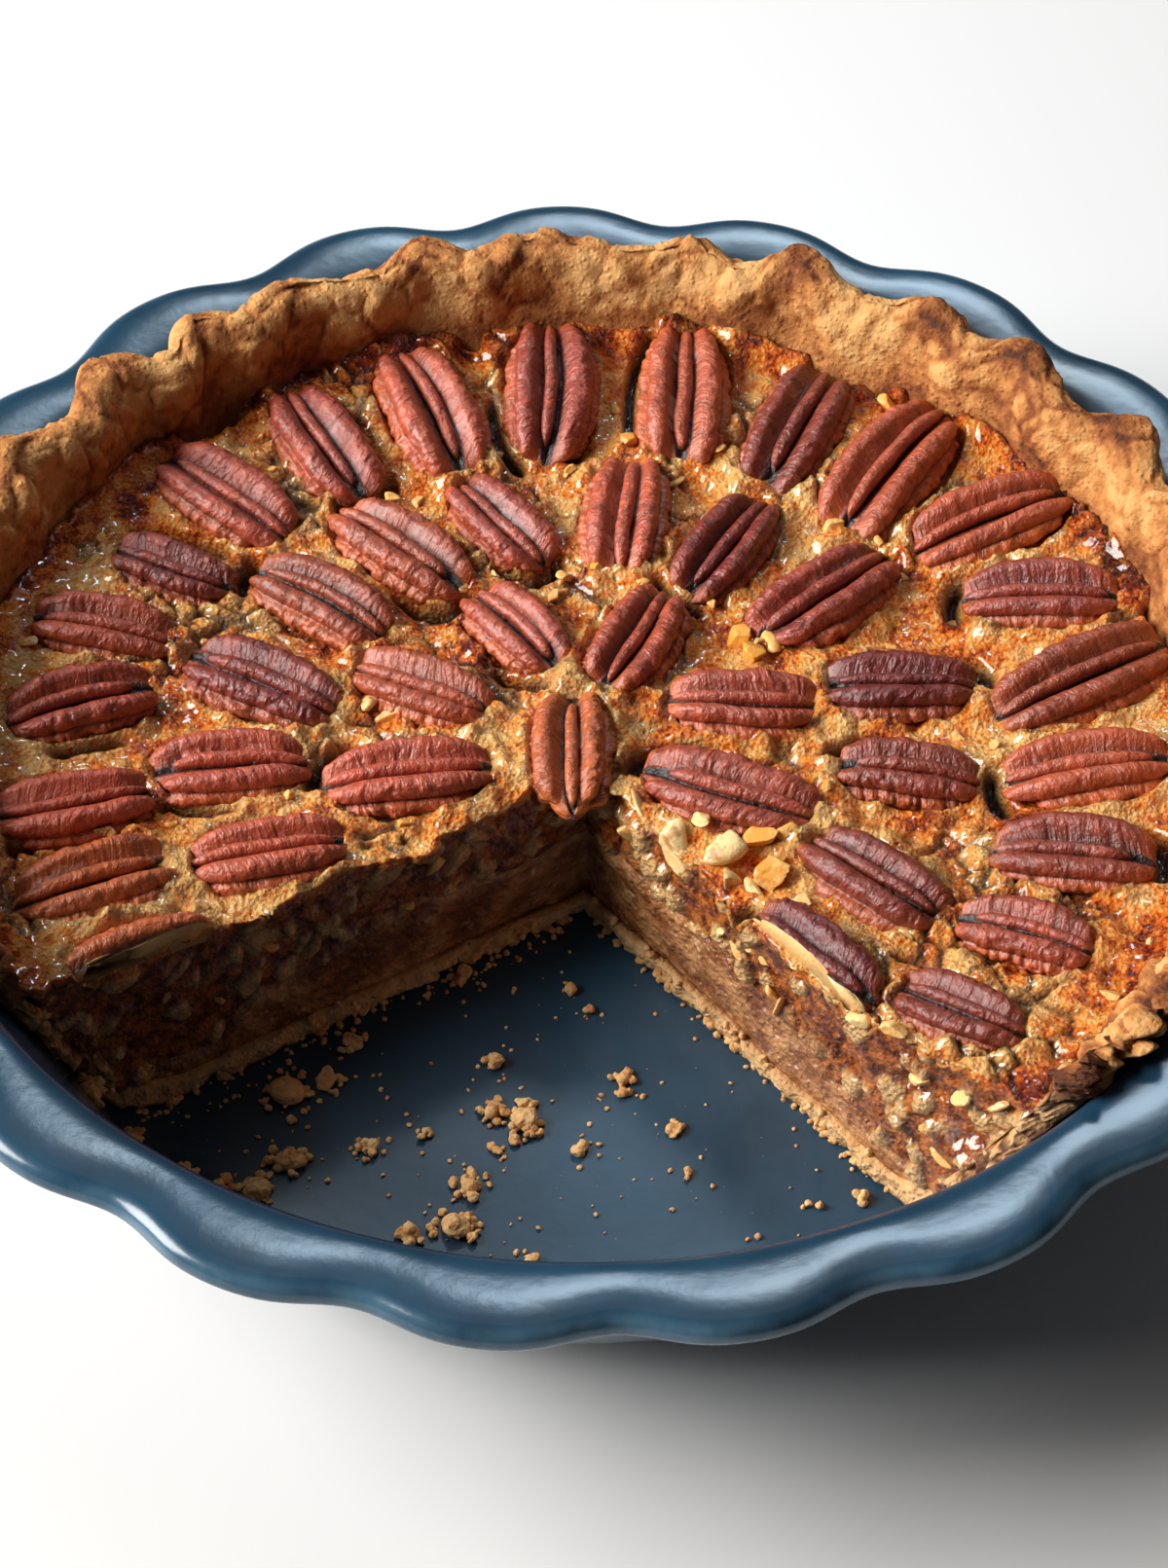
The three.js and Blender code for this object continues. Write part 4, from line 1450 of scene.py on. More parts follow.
@dataclass
class CutFace:
    """Relief of the two faces that the knife left.

    Attributes:
        seed: Number that picks the pattern.
        fade: Distance behind a face over which its relief dies away.
    """

    seed: int = 23
    fade: float = 2.6

    def level(self, points: Array, distance: Array) -> Array:
        """Height at which the chopped nuts of a face give way to smooth custard.

        Args:
            points: Places on the face.
            distance: Their distance from the apex.

        Returns:
            Heights.
        """
        fall = 12.0 * ease(distance, 48.0, PLAN.cut_reach)
        return 26.5 - fall + 2.2 * Noise(self.seed).smooth(points + 70.0, 7.0)

    def nuts(self, points: Array, distance: Array) -> tuple[Array, Array]:
        """How far chopped nuts and jelly stand out of a face.

        Args:
            points: Places on the face.
            distance: Their distance from the apex.

        Returns:
            Push out of the face, and how much each place is nut flesh.
        """
        noise = Noise(self.seed)
        warped = points + 1.2 * noise.fractal(points, 4.0, 2)[:, None]
        near, gap, mark = noise.cells(warped, 4.6)
        chunk = (mark - 0.42) * 2.6 * ease(gap, 0.02, 0.22) + 0.5 * (0.5 - near)
        wave = 0.9 * noise.fractal(points, 9.0, 3) + 0.28 * noise.fractal(points + 40.0, 1.6, 3, 0.6)
        low = self.level(points, distance)
        sunk = ease(points[:, 2], low + 1.2, low - 2.2)
        push = chunk + wave - 3.8 * sunk
        kernel = ease(mark, 0.66, 0.72) * ease(gap, 0.03, 0.12) * (1.0 - sunk)
        return push * ease(distance, 0.5, 5.0), kernel

    def custard(self, points: Array, distance: Array) -> Array:
        """How far the smooth custard stands out of a face."""
        noise = Noise(self.seed + 3)
        wave = 0.9 * noise.fractal(points, 11.0, 3) + 0.3 * noise.fractal(points, 2.4, 2)
        low = self.level(points, distance)
        return (wave - 3.2 * ease(points[:, 2], low - 1.0, low + 3.0)) * ease(distance, 0.5, 4.0)


FACE = CutFace()


@dataclass
class NutLayer:
    """Upper filling: chopped nuts in jelly under a blistered golden skin.

    Attributes:
        halves: The pecan halves that lie on it.
        ring_step: Distance between rings of the net.
        first_columns: Steps round the innermost rings, doubled as the rings grow.
        doublings: Rings at which the steps double.
        face_rows: Rows down each cut face.
        foot: Lowest height of the layer.
        seat: Height above a half's underside that the foam under it stays below.
        seed: Number that picks the crags.
    """

    halves: list[PecanHalf]
    ring_step: float = 0.7
    first_columns: int = 46
    doublings: tuple[int, ...] = (10, 20, 40, 80)
    face_rows: int = 58
    foot: float = 15.0
    seat: float = 1.2
    seed: int = 31

    def skin(self, points: Array) -> tuple[Array, dict[str, Array]]:
        """Height of the top and its attributes.

        Args:
            points: Places on the smooth top.

        Returns:
            Heights, and tone and painted hole shade attributes.
        """
        noise = Noise(self.seed)
        radius = np.hypot(points[:, 0], points[:, 1])
        flat = points * np.array([1.0, 1.0, 0.0])
        warped = flat + 1.5 * noise.fractal(flat + 9.0, 5.0, 2)[:, None] * np.array([1.0, 0.6, 0.0])
        _, gap, mark = noise.cells(warped, 6.2)
        swell = 1.25 * noise.fractal(flat, 15.0, 3)
        chunk = (mark - 0.4) * ease(gap, 0.0, 0.6)
        grit = 0.85 * noise.fractal(flat + 50.0, 2.8, 3, 0.65)
        small, _, pick = noise.cells(flat + 7.0, 1.6)
        blister = 0.5 * ease(small, 0.5, 0.15) * (pick - 0.35)
        pit = ease(small, 0.34, 0.1) * (pick > 0.8)
        crack = ease(gap, 0.16, 0.02) * ease(noise.fractal(flat + 80.0, 16.0, 2), 0.12, 0.5)
        # Painted shade in pits and cracks.
        hole = np.maximum(0.55 * pit, 0.8 * crack)
        height = PLAN.top(radius) + swell + chunk + grit + blister - 0.7 * pit - 1.4 * crack
        tone = 0.5 + 0.3 * swell / 1.25 + 0.3 * (mark - 0.5) + 0.25 * (chunk > 0.6)
        height, hole, tone = self.meet_halves(points, height, hole, tone)
        return self.meet_pastry(points, radius, height, hole, tone)

    def meet_halves(
        self, points: Array, height: Array, hole: Array, tone: Array
    ) -> tuple[Array, Array, Array]:
        """Raises a collar of foam round each half, with gaps beside some of them, and paints shade into the
        gaps and seams.

        Args:
            points: Places on the smooth top.
            height: Heights so far.
            hole: Painted shade in holes so far.
            tone: Browning so far.

        Returns:
            Heights, painted hole shade and tone.
        """
        for half in self.halves:
            local = half.local(np.column_stack([points[:, :2], height]))
            reach = np.hypot(local[:, 0], local[:, 1])
            close = reach < half.length / 2.0 + 6.0
            spot = local[close]
            rng = np.random.default_rng(half.seed + 500)
            u, v = spot[:, 0] / (half.length / 2.0), spot[:, 1] / (half.width / 2.0)
            ring = (np.abs(u) ** 2.4 + np.abs(v) ** 2.4) ** (1.0 / 2.4)
            beyond = (ring - 1.0) * half.width / 2.0
            heading = np.arctan2(v, u)
            wave = Noise(half.seed).smooth(points[close] * np.array([1.0, 1.0, 0.0]), 4.5)
            grain = Noise(half.seed + 1).fractal(points[close], 2.0, 2)
            collar = bump_at(beyond, -0.3, 2.6) * (1.6 + 1.1 * wave + 0.9 * grain)
            opening = rng.uniform(-math.pi, math.pi)
            turn = np.abs((heading - opening + math.pi) % (2.0 * math.pi) - math.pi)
            wide = rng.uniform(0.25, 0.6) * (rng.random() < 0.42)
            gap = bump_at(beyond, 0.9, 1.0) * ease(turn, wide + 0.3, wide) * (wide > 0)
            seam = bump_at(beyond, 0.15, 0.5) * ease(wave, -0.1, 0.5)
            below = ease(beyond, 0.0, -1.5)
            lift = collar * (1.0 - gap) - 3.8 * gap - 0.6 * seam
            level = np.minimum(0.0, half.origin[2] + self.seat - height[close])
            height[close] += lift * (1.0 - below) + below * level
            # Painted shade in the gaps and seams beside the half.
            hole[close] = np.maximum(hole[close], np.maximum(gap * 1.1, 0.5 * seam))
            tone[close] += 0.03 * collar
        return height, np.clip(hole, 0.0, 1.0), tone

    def meet_pastry(
        self, points: Array, radius: Array, height: Array, hole: Array, tone: Array
    ) -> tuple[Array, dict[str, Array]]:
        """Draws the foam up the pastry in places and away from it in others, paints shade into the gaps, and
        darkens the foam near the pastry, partly as painted shade.

        Args:
            points: Places on the smooth top.
            radius: Their distance from the pie's centre.
            height: Heights so far.
            hole: Painted shade in holes so far.
            tone: Browning so far.

        Returns:
            Heights, and tone and painted hole shade attributes.
        """
        bearing = np.arctan2(points[:, 1], points[:, 0])
        ring = np.stack([40.0 * np.cos(bearing), 40.0 * np.sin(bearing), 0.0 * bearing], axis=1)
        wave = Noise(self.seed + 2).fractal(ring, 6.0, 3)
        edge = PLAN.pastry_wall(PLAN.brim) - radius
        climb = ease(edge, 5.5, 0.0) * (1.4 + 3.2 * wave)
        gap = bump_at(edge, 0.9, 1.6) * ease(wave, -0.05, -0.4)
        height = height + climb - 4.2 * gap
        # Painted shade in the gap along the pastry.
        hole = np.clip(np.maximum(hole, gap), 0.0, 1.0)
        # Darker near the pastry: partly burnt foam, partly painted shade from the pastry wall.
        tone = tone - 0.35 * ease(edge, 10.0, 0.0)
        return height, {"tone": np.clip(tone, 0.0, 1.0), "hole": hole}

    def rings(self) -> tuple[Array, Array, list[int], list[int]]:
        """Plans the net of the top.

        Returns:
            Part and fraction of the way out for every point, and each ring's first point and columns.
        """
        count = int(PLAN.pastry_wall(PLAN.brim) / self.ring_step)
        parts, shares, starts, columns = [np.zeros(1)], [np.zeros(1)], [0], [0]
        total = 1
        steps = self.first_columns
        for ring in range(1, count + 1):
            if ring in self.doublings:
                steps *= 2
            starts.append(total)
            columns.append(steps)
            parts.append(np.linspace(0.0, 1.0, steps + 1))
            shares.append(np.full(steps + 1, ring / count))
            total += steps + 1
        return np.concatenate(parts), np.concatenate(shares), starts, columns

    @staticmethod
    def net_faces(starts: list[int], columns: list[int]) -> list[tuple[int, ...]]:
        """Joins neighbouring rings, three triangles to a step where the steps double."""
        faces = [(0, starts[1] + k, starts[1] + k + 1) for k in range(columns[1])]
        for ring in range(1, len(starts) - 1):
            here, there = starts[ring], starts[ring + 1]
            if columns[ring] == columns[ring + 1]:
                faces += [(here + k, there + k, there + k + 1, here + k + 1) for k in range(columns[ring])]
            else:
                for k in range(columns[ring]):
                    far = there + 2 * k
                    faces.append((here + k, far, far + 1))
                    faces.append((here + k, far + 1, here + k + 1))
                    faces.append((here + k + 1, far + 1, far + 2))
        return faces

    def top(self) -> tuple[Array, Array, dict[str, Array], list[int], list[int]]:
        """Lays the top net with its relief.

        Returns:
            Places, distances from the apex, attributes, ring starts and ring columns.
        """
        part, share, starts, columns = self.rings()
        distance = share * PLAN.wall_reach(part, PLAN.brim)
        points = PLAN.spot(part, distance, np.zeros(len(part)), np.ones(len(part)))
        points[:, 2] = PLAN.top(np.hypot(points[:, 0], points[:, 1]))
        height, shades = self.skin(points)
        points[:, 2] = height
        cut, kernel = np.zeros(len(part)), np.zeros(len(part))
        for end, behind in enumerate((part, 1.0 - part)):
            depth = behind * math.radians(PLAN.span) * distance
            close = depth < FACE.fade
            push, flesh = FACE.nuts(points[close], distance[close])
            weight = ease(depth[close], FACE.fade, 0.0)
            points[close] += (push * weight)[:, None] * PLAN.side(end)
            kernel[close] = flesh * ease(depth[close], 0.8, 0.0) * 0.6
        return points, distance, {**shades, "cut": cut, "kernel": kernel}, starts, columns

    def face(self, edge: Array, distance: Array, end: int) -> tuple[Array, dict[str, Array]]:
        """Lays one cut face below the top's edge.

        Args:
            edge: The top's edge from the apex outward.
            distance: Its distances from the apex.
            end: 0 at the right wall, 1 at the left wall.

        Returns:
            Places row by row from the edge down, and attributes.
        """
        down = np.linspace(0.0, 1.0, self.face_rows) ** 1.15
        away, down = np.meshgrid(distance, down)
        rim = np.broadcast_to(edge[:, 2], away.shape)
        height = rim + (self.foot - rim) * down
        away = away / distance[-1] * PLAN.wall_reach(np.full(away.shape, float(end)), height)
        broken = ease(height, 27.0, 34.0)
        flat = PLAN.spot(np.full(away.size, float(end)), away.ravel(), height.ravel(), broken.ravel())
        push, kernel = FACE.nuts(flat, away.ravel())
        points = flat + push[:, None] * PLAN.side(end)
        points = points.reshape(*away.shape, 3)
        points[0] = edge
        depth = (rim - height).ravel()
        ragged = 1.4 + 1.1 * Noise(self.seed + 8).fractal(flat, 4.0, 3)
        cut = ease(depth, ragged - 0.6, ragged + 0.9)
        tone = 0.45 + 0.3 * Noise(self.seed + 9).fractal(flat, 5.0, 3)
        shades = {"tone": np.clip(tone, 0, 1), "hole": 0.0 * cut, "cut": cut, "kernel": kernel * cut}
        return points.reshape(-1, 3), shades

    def build(self) -> bpy.types.Object:
        """Makes the layer as one closed piece.

        Returns:
            The finished piece.
        """
        points, distance, shades, starts, columns = self.top()
        net = MeshParts()
        net.add(points, self.net_faces(starts, columns), **shades)
        rings = len(starts)
        ends = [[0] + [starts[k] + (columns[k] if end else 0) for k in range(1, rings)] for end in (0, 1)]
        feet = []
        for end, edge in enumerate(ends):
            face_points, face_shades = self.face(points[edge], distance[edge], end)
            start = net.add(face_points, grid_faces(self.face_rows, rings), **face_shades)
            feet.append((start, start + (self.face_rows - 1) * rings))
        self.close(net, starts[-1], columns[-1], feet, rings)
        piece = net.piece("nut_filling", NutCrust().build())
        return dress(piece, Slot.NUTS, "nut_layer")

    def close(
        self, net: MeshParts, rim: int, steps: int, feet: list[tuple[int, int]], rings: int
    ) -> None:
        """Adds the wall against the pastry and the underside.

        Args:
            net: Where they go.
            rim: First point of the top's outermost ring.
            steps: Columns of that ring.
            feet: First and lowest row of each cut face.
            rings: Points across a cut face.
        """
        part = np.linspace(0.0, 1.0, steps + 1)
        away = PLAN.wall_reach(part, self.foot)
        low = PLAN.spot(part, away, np.full(len(part), self.foot), np.zeros(len(part)))
        zero = np.zeros(steps - 1)
        start = net.add(low[1:-1], [], tone=zero, hole=zero, cut=zero, kernel=zero) - 1
        sides = [[foot[0] + row * rings + rings - 1 for row in range(1, self.face_rows)] for foot in feet]
        wall = [(rim + k, rim + k + 1, start + k + 1, start + k) for k in range(1, steps - 1)]
        wall.append((rim, rim + 1, start + 1, *reversed(sides[0])))
        wall.append((rim + steps - 1, rim + steps, *sides[1], start + steps - 1))
        base = [feet[0][1] + k for k in range(rings)] + [start + k for k in range(1, steps)]
        base += [feet[1][1] + k for k in range(rings - 1, 0, -1)]
        net.faces.extend([*wall, tuple(base)])


@dataclass
class Custard:
    """Smooth lower filling, a closed sector with a fine face at each cut.

    Attributes:
        low: Height of its underside.
        high: Height of its hidden top, inside the chopped nuts.
        rows: Rows down a face.
        rings: Steps out along a face.
        columns: Steps round the outside.
        seed: Number that picks the dark patches of its faces.
    """

    low: float = 11.6
    high: float = 31.0
    rows: int = 30
    rings: int = 150
    columns: int = 90
    seed: int = 57

    def face(self, end: int) -> tuple[Array, Array]:
        """Lays one face, row by row from the top, with its nut attribute."""
        levels = np.linspace(self.high, self.low, self.rows)
        share, height = np.meshgrid(np.linspace(0.0, 1.0, self.rings), levels)
        away = share * PLAN.wall_reach(np.full(share.shape, float(end)), height)
        zero = np.zeros(away.size)
        flat = PLAN.spot(zero + end, away.ravel(), height.ravel(), zero)
        push = FACE.custard(flat, away.ravel()) * ease(share.ravel(), 1.0, 0.97)
        chunk = ease(Noise(self.seed).fractal(flat, 5.0, 3), 0.25, 0.6)
        return flat + push[:, None] * PLAN.side(end), chunk

    def build(self) -> bpy.types.Object:
        """Makes the custard.

        Returns:
            The finished piece.
        """
        parts = MeshParts()
        corners = []
        for end in (0, 1):
            points, chunk = self.face(end)
            corners.append(parts.add(points, grid_faces(self.rows, self.rings), chunk=chunk))
        levels = np.linspace(self.high, self.low, self.rows)
        part, height = np.meshgrid(np.linspace(0.0, 1.0, self.columns), levels)
        away = PLAN.wall_reach(part, height)
        zero = np.zeros(part.size)
        wall = PLAN.spot(part.ravel(), away.ravel(), height.ravel(), zero)
        start = parts.add(wall, grid_faces(self.rows, self.columns), chunk=zero)
        for row in (0, self.rows - 1):
            right, left = (corner + row * self.rings for corner in corners)
            loop = [right + k for k in range(self.rings)]
            loop += [start + row * self.columns + k for k in range(1, self.columns - 1)]
            loop += [left + k for k in range(self.rings - 1, 0, -1)]
            parts.faces.append(tuple(loop))
        piece = parts.piece("set_filling", SetCustard().build())
        return dress(piece, Slot.CUSTARD, "custard")


# ---- Crumbs and chopped nuts ----


class Scatter(Nodes):
    """Geometry nodes that set a small lump at every point and give each its own crags."""

    def __init__(self, name: str) -> None:
        """Builds the tree with its named inputs."""
        super().__init__(bpy.data.node_groups.new(name, "GeometryNodeTree"))
        sockets = self.tree.interface
        sockets.new_socket("Geometry", in_out="INPUT", socket_type="NodeSocketGeometry")
        kinds = {"Subdivisions": "Int", "Finish": "Material"}
        labels = ("Subdivisions", "Crag Size", "Crag Depth", "Facet Size", "Facet Depth", "Seed", "Finish")
        self.keys = {
            label: sockets.new_socket(
                label, in_out="INPUT", socket_type=f"NodeSocket{kinds.get(label, 'Float')}"
            ).identifier
            for label in labels
        }
        sockets.new_socket("Geometry", in_out="OUTPUT", socket_type="NodeSocketGeometry")
        self.build()

    def push(self, surface: Value, height: Value, depth: Value) -> Value:
        """Moves a surface along its normal.

        Args:
            surface: The surface.
            height: How far, from 0 to 1 about its middle.
            depth: What that height is multiplied by.

        Returns:
            The moved surface.
        """
        normal = self.make("GeometryNodeInputNormal", {}, {})
        inputs = {0: normal, "Scale": (height - 0.5) * depth}
        offset = self.make("ShaderNodeVectorMath", {"operation": "SCALE"}, inputs)
        return self.make("GeometryNodeSetPosition", {}, {"Geometry": surface, "Offset": offset})

    def build(self) -> None:
        """Adds the nodes: lumps at points, made real, then crags and facets."""
        group = self.tree.nodes.new("NodeGroupInput").outputs
        given = {socket.name: Value(self, socket) for socket in group if socket.name}
        ball = {"Radius": 1.0, "Subdivisions": given["Subdivisions"]}
        vector = {"data_type": "FLOAT_VECTOR"}
        lumps = {
            "Points": given["Geometry"],
            "Instance": self.make("GeometryNodeMeshIcoSphere", {}, ball),
            "Rotation": self.make("GeometryNodeInputNamedAttribute", vector, {"Name": "turn"}),
            "Scale": self.make("GeometryNodeInputNamedAttribute", vector, {"Name": "size"}),
        }
        surface = self.make("GeometryNodeInstanceOnPoints", {}, lumps)
        surface = self.make("GeometryNodeRealizeInstances", {}, {"Geometry": surface})
        spot = {"Vector": self.make("GeometryNodeInputPosition", {}, {}), "W": given["Seed"]}
        inputs = {**spot, "Scale": given["Facet Size"]}
        facet = self.make("ShaderNodeTexVoronoi", {"voronoi_dimensions": "4D"}, inputs)
        surface = self.push(surface, facet, given["Facet Depth"])
        inputs = {**spot, "Scale": given["Crag Size"], "Detail": 3.0}
        crag = self.make("ShaderNodeTexNoise", {"noise_dimensions": "4D"}, inputs)
        surface = self.push(surface, crag, given["Crag Depth"])
        inputs = {"Geometry": surface, "Material": given["Finish"]}
        surface = self.make("GeometryNodeSetMaterial", {}, inputs)
        out = self.tree.nodes.new("NodeGroupOutput")
        self.tree.links.new(surface.socket, out.inputs["Geometry"])

    def spread(
        self, name: str, lumps: "Lumps", finish: bpy.types.Material, **sizes: float
    ) -> bpy.types.Object:
        """Runs the tree over a set of lumps.

        Args:
            name: Name of the piece.
            lumps: Where the lumps go.
            finish: Their material.
            **sizes: The tree's named inputs, with _ for each space.

        Returns:
            A plain mesh piece.
        """
        source = lumps.cloud(name)
        modifier = source.modifiers.new("scatter", "NODES")
        modifier.node_group = self.tree
        modifier[self.keys["Finish"]] = finish
        for label, value in sizes.items():
            modifier[self.keys[label.replace("_", " ")]] = value
        bpy.context.view_layer.update()
        graph = bpy.context.evaluated_depsgraph_get()
        mesh = bpy.data.meshes.new_from_object(source.evaluated_get(graph), depsgraph=graph)
        bpy.data.objects.remove(source)
        mesh.name = name
        for attribute in ("turn", "size"):
            if attribute in mesh.attributes:
                mesh.attributes.remove(mesh.attributes[attribute])
        if not mesh.materials:
            mesh.materials.append(finish)
        return show(bpy.data.objects.new(name, mesh))


@dataclass
class Lumps:
    """Places, sizes and turns of small lumps.

    Attributes:
        rng: Source of the draws.
        places: Middles so far.
        sizes: Radii so far, along x, y and z.
    """

    rng: np.random.Generator
    places: list[Array] = field(default_factory=list)
    sizes: list[Array] = field(default_factory=list)

    def add(self, place: Sequence[float], radius: float, flat: float = 0.7) -> None:
        """Adds one lump.

        Args:
            place: Its middle.
            radius: Its mean radius.
            flat: Its height as a share of its width.
        """
        stretch = self.rng.uniform(0.75, 1.3, 3) * np.array([1.0, 1.0, flat])
        self.places.append(np.array(place, float))
        self.sizes.append(radius * stretch)

    def heap(self, place: Sequence[float], reach: float, count: int, grain: tuple[float, float]) -> None:
        """Adds a small heap of lumps that lie on a level and on each other.

        Args:
            place: Middle of its foot.
            reach: Radius of the heap.
            count: Number of lumps.
            grain: Least and greatest radius of a lump.
        """
        lean = self.rng.uniform(0.5, 1.0)
        angle = self.rng.uniform(0.0, math.pi)
        for _ in range(count):
            away = reach * self.rng.random() ** 0.8
            heading = self.rng.uniform(0.0, 2.0 * math.pi)
            dx, dy = away * math.cos(heading), away * lean * math.sin(heading)
            x = place[0] + dx * math.cos(angle) - dy * math.sin(angle)
            y = place[1] + dx * math.sin(angle) + dy * math.cos(angle)
            hold = math.hypot(place[0], place[1]) / max(math.hypot(x, y), 1.0)
            if PLAN.floor_radius < math.hypot(x, y) and hold < 1.0:
                x, y = x * hold, y * hold
            radius = self.rng.uniform(*grain) * (1.1 - 0.4 * away / reach)
            rise = max(0.0, 0.6 * (reach - away)) * self.rng.random() * 0.8
            self.add((x, y, place[2] + 0.62 * radius + rise), radius)
        if reach > 2.0:
            self.add((place[0], place[1], place[2] + 0.22 * reach), 0.46 * reach, 0.55)

    def cloud(self, name: str) -> bpy.types.Object:
        """Makes a bare point cloud of the lumps, in metres."""
        mesh = bpy.data.meshes.new(f"{name}_points")
        places = np.array(self.places)
        mesh.from_pydata((places * MM).tolist(), [], [])
        turns = self.rng.uniform(-0.5, 0.5, places.shape)
        turns = turns + self.rng.uniform(0, 6.28, (len(places), 1)) * [0, 0, 1]
        for label, rows in (("size", np.array(self.sizes) * MM), ("turn", turns)):
            layer = mesh.attributes.new(label, "FLOAT_VECTOR", "POINT")
            layer.data.foreach_set("vector", rows.astype(np.float32).ravel())
        return show(bpy.data.objects.new(f"{name}_points", mesh))


@dataclass
class Crumbs:
    """Pastry crumbs that fell from the cut.

    Attributes:
        heaps: Crumb heaps on the dish's floor, as x, y, reach and number of grains.
        corner: Heaps that lodged against the dish's wall on the left of the slice.
        grain: Least and greatest radius of a lump in a heap.
        specks: Number of single crumbs scattered over the floor.
        seed: Number that picks the crumbs.
    """

    heaps: tuple[tuple[float, float, float, int], ...] = (
        (-9.6, -51.3, 5.4, 46), (-15.0, -49.0, 3.4, 14), (-50.5, -45.7, 6.2, 34), (-44.0, -43.0, 3.6, 12),
        (-49.8, -60.1, 4.4, 30), (-54.4, -66.6, 4.8, 30), (-20.8, -73.5, 4.6, 30),
        (-28.1, -75.2, 3.0, 12), (-18.5, -64.9, 3.4, 14), (-14.7, -38.6, 2.4, 7), (-35.9, -57.2, 2.8, 10),
        (7.1, -42.0, 2.8, 9), (7.6, -46.0, 1.6, 3), (16.1, -52.6, 2.4, 7), (18.3, -62.4, 1.5, 2),
        (46.8, -66.7, 1.8, 4), (39.4, -67.5, 1.4, 2), (27.5, -34.1, 2.4, 8), (-7.9, -79.7, 2.2, 5),
        (-0.5, -56.9, 2.0, 5), (-26.9, -54.2, 1.5, 3), (-40.1, -34.1, 3.0, 9), (1.4, -26.9, 1.1, 2),
        (-2.0, -22.4, 1.0, 2), (-14.5, -56.8, 1.3, 3), (-20.9, -18.9, 3.0, 12), (-27.7, -20.0, 2.4, 8),
        (-34.5, -23.2, 2.6, 8), (-5.4, -9.0, 2.0, 6),
    )
    corner: tuple[tuple[float, float, float, int], ...] = (
        (-93.1, -47.0, 3.4, 16), (-88.4, -53.3, 3.6, 16), (-81.5, -58.5, 4.2, 20),
        (-74.7, -62.6, 4.0, 22), (-68.0, -65.6, 4.2, 24), (-60.6, -68.0, 4.4, 26),
    )
    grain: tuple[float, float] = (0.4, 1.1)
    specks: int = 80
    seed: int = 71

    def build(self) -> None:
        """Makes the crumbs in heaps, and the single ones round them and along the cuts."""
        rng = np.random.default_rng(self.seed)
        lumps, dust = Lumps(rng), Lumps(rng)
        for x, y, reach, count in self.heaps:
            lumps.heap((x, y, dish_level(x, y)), reach, count, self.grain)
            for _ in range(3 + count // 5):
                spot = np.array([x, y]) + rng.normal(0.0, reach * 1.5, 2)
                self.drop(dust, spot, rng.uniform(0.15, 0.45))
        for x, y, reach, count in self.corner:
            lumps.heap((x, y, dish_level(x, y)), reach, count, self.grain)
        self.line_cuts(dust, rng)
        for _ in range(self.specks):
            part = rng.uniform(0.04, 0.96)
            away = PLAN.floor_radius * math.sqrt(rng.uniform(0.02, 1.0))
            bearing = PLAN.left_bearing + part * (PLAN.right_bearing - PLAN.left_bearing)
            spot = np.array(PLAN.apex) + away * PLAN.direction(bearing)
            self.drop(dust, spot, rng.uniform(0.1, 0.3))
        scatter, finish = Scatter("crumb_scatter"), PastryCrumb().build()
        sizes = {"Crag_Size": 900.0, "Crag_Depth": 0.0011, "Facet_Size": 600.0, "Facet_Depth": 0.0006}
        sizes["Seed"] = 3.0
        for name, heap, fineness in (("pastry_crumbs", lumps, 3), ("crumb_dust", dust, 2)):
            dress(scatter.spread(name, heap, finish, Subdivisions=fineness, **sizes), Slot.PASTRY)

    @staticmethod
    def drop(lumps: Lumps, spot: Array, radius: float) -> None:
        """Lets one crumb lie on the dish."""
        x, y = float(spot[0]), float(spot[1])
        lumps.add((x, y, dish_level(x, y) + 0.55 * radius), radius)

    @staticmethod
    def line_cuts(lumps: Lumps, rng: np.random.Generator) -> None:
        """Lays loose crumbs along the foot of both cuts, and sticks some to the pastry above it."""
        for end, (thick, count) in enumerate(((1.0, 84), (2.6, 130))):
            heading = PLAN.direction(PLAN.wall_bearing(end))
            side, apex = PLAN.side(end)[:2], np.array(PLAN.apex)
            for _ in range(count):
                away = rng.uniform(4.0, 92.0)
                out = abs(rng.normal(0.0, thick)) + 0.3
                spot = apex + away * heading + out * side
                Crumbs.drop(lumps, spot, rng.uniform(0.2, 0.95) * (1.0 if out < 1.5 else 0.6))
            for _ in range(count // 2):
                spot = apex + rng.uniform(3.0, PLAN.cut_reach) * heading + rng.uniform(0.4, 1.6) * side
                lumps.add((*spot, rng.uniform(7.4, 12.0)), rng.uniform(0.25, 0.7), 0.9)


def dish_level(x: float, y: float) -> float:
    """Height of the dish's inside at a place."""
    radius = math.hypot(x, y)
    heights = np.linspace(PLAN.floor, PLAN.wall_top[1], 200)
    if radius <= PLAN.floor_radius:
        return PLAN.floor
    return float(np.interp(radius, PLAN.dish_wall(heights), heights))


@dataclass(frozen=True)
class Chip:
    """One chip of chopped nut.

    Attributes:
        place: Its middle.
        size: Its length, width and thickness.
        heading: Bearing of its length, in degrees.
        tilt: Degrees that its length rises.
        toast: 0 for raw cream to 1 for golden and syrupy.
    """

    place: Triple
    size: Triple
    heading: float
    tilt: float
    toast: float


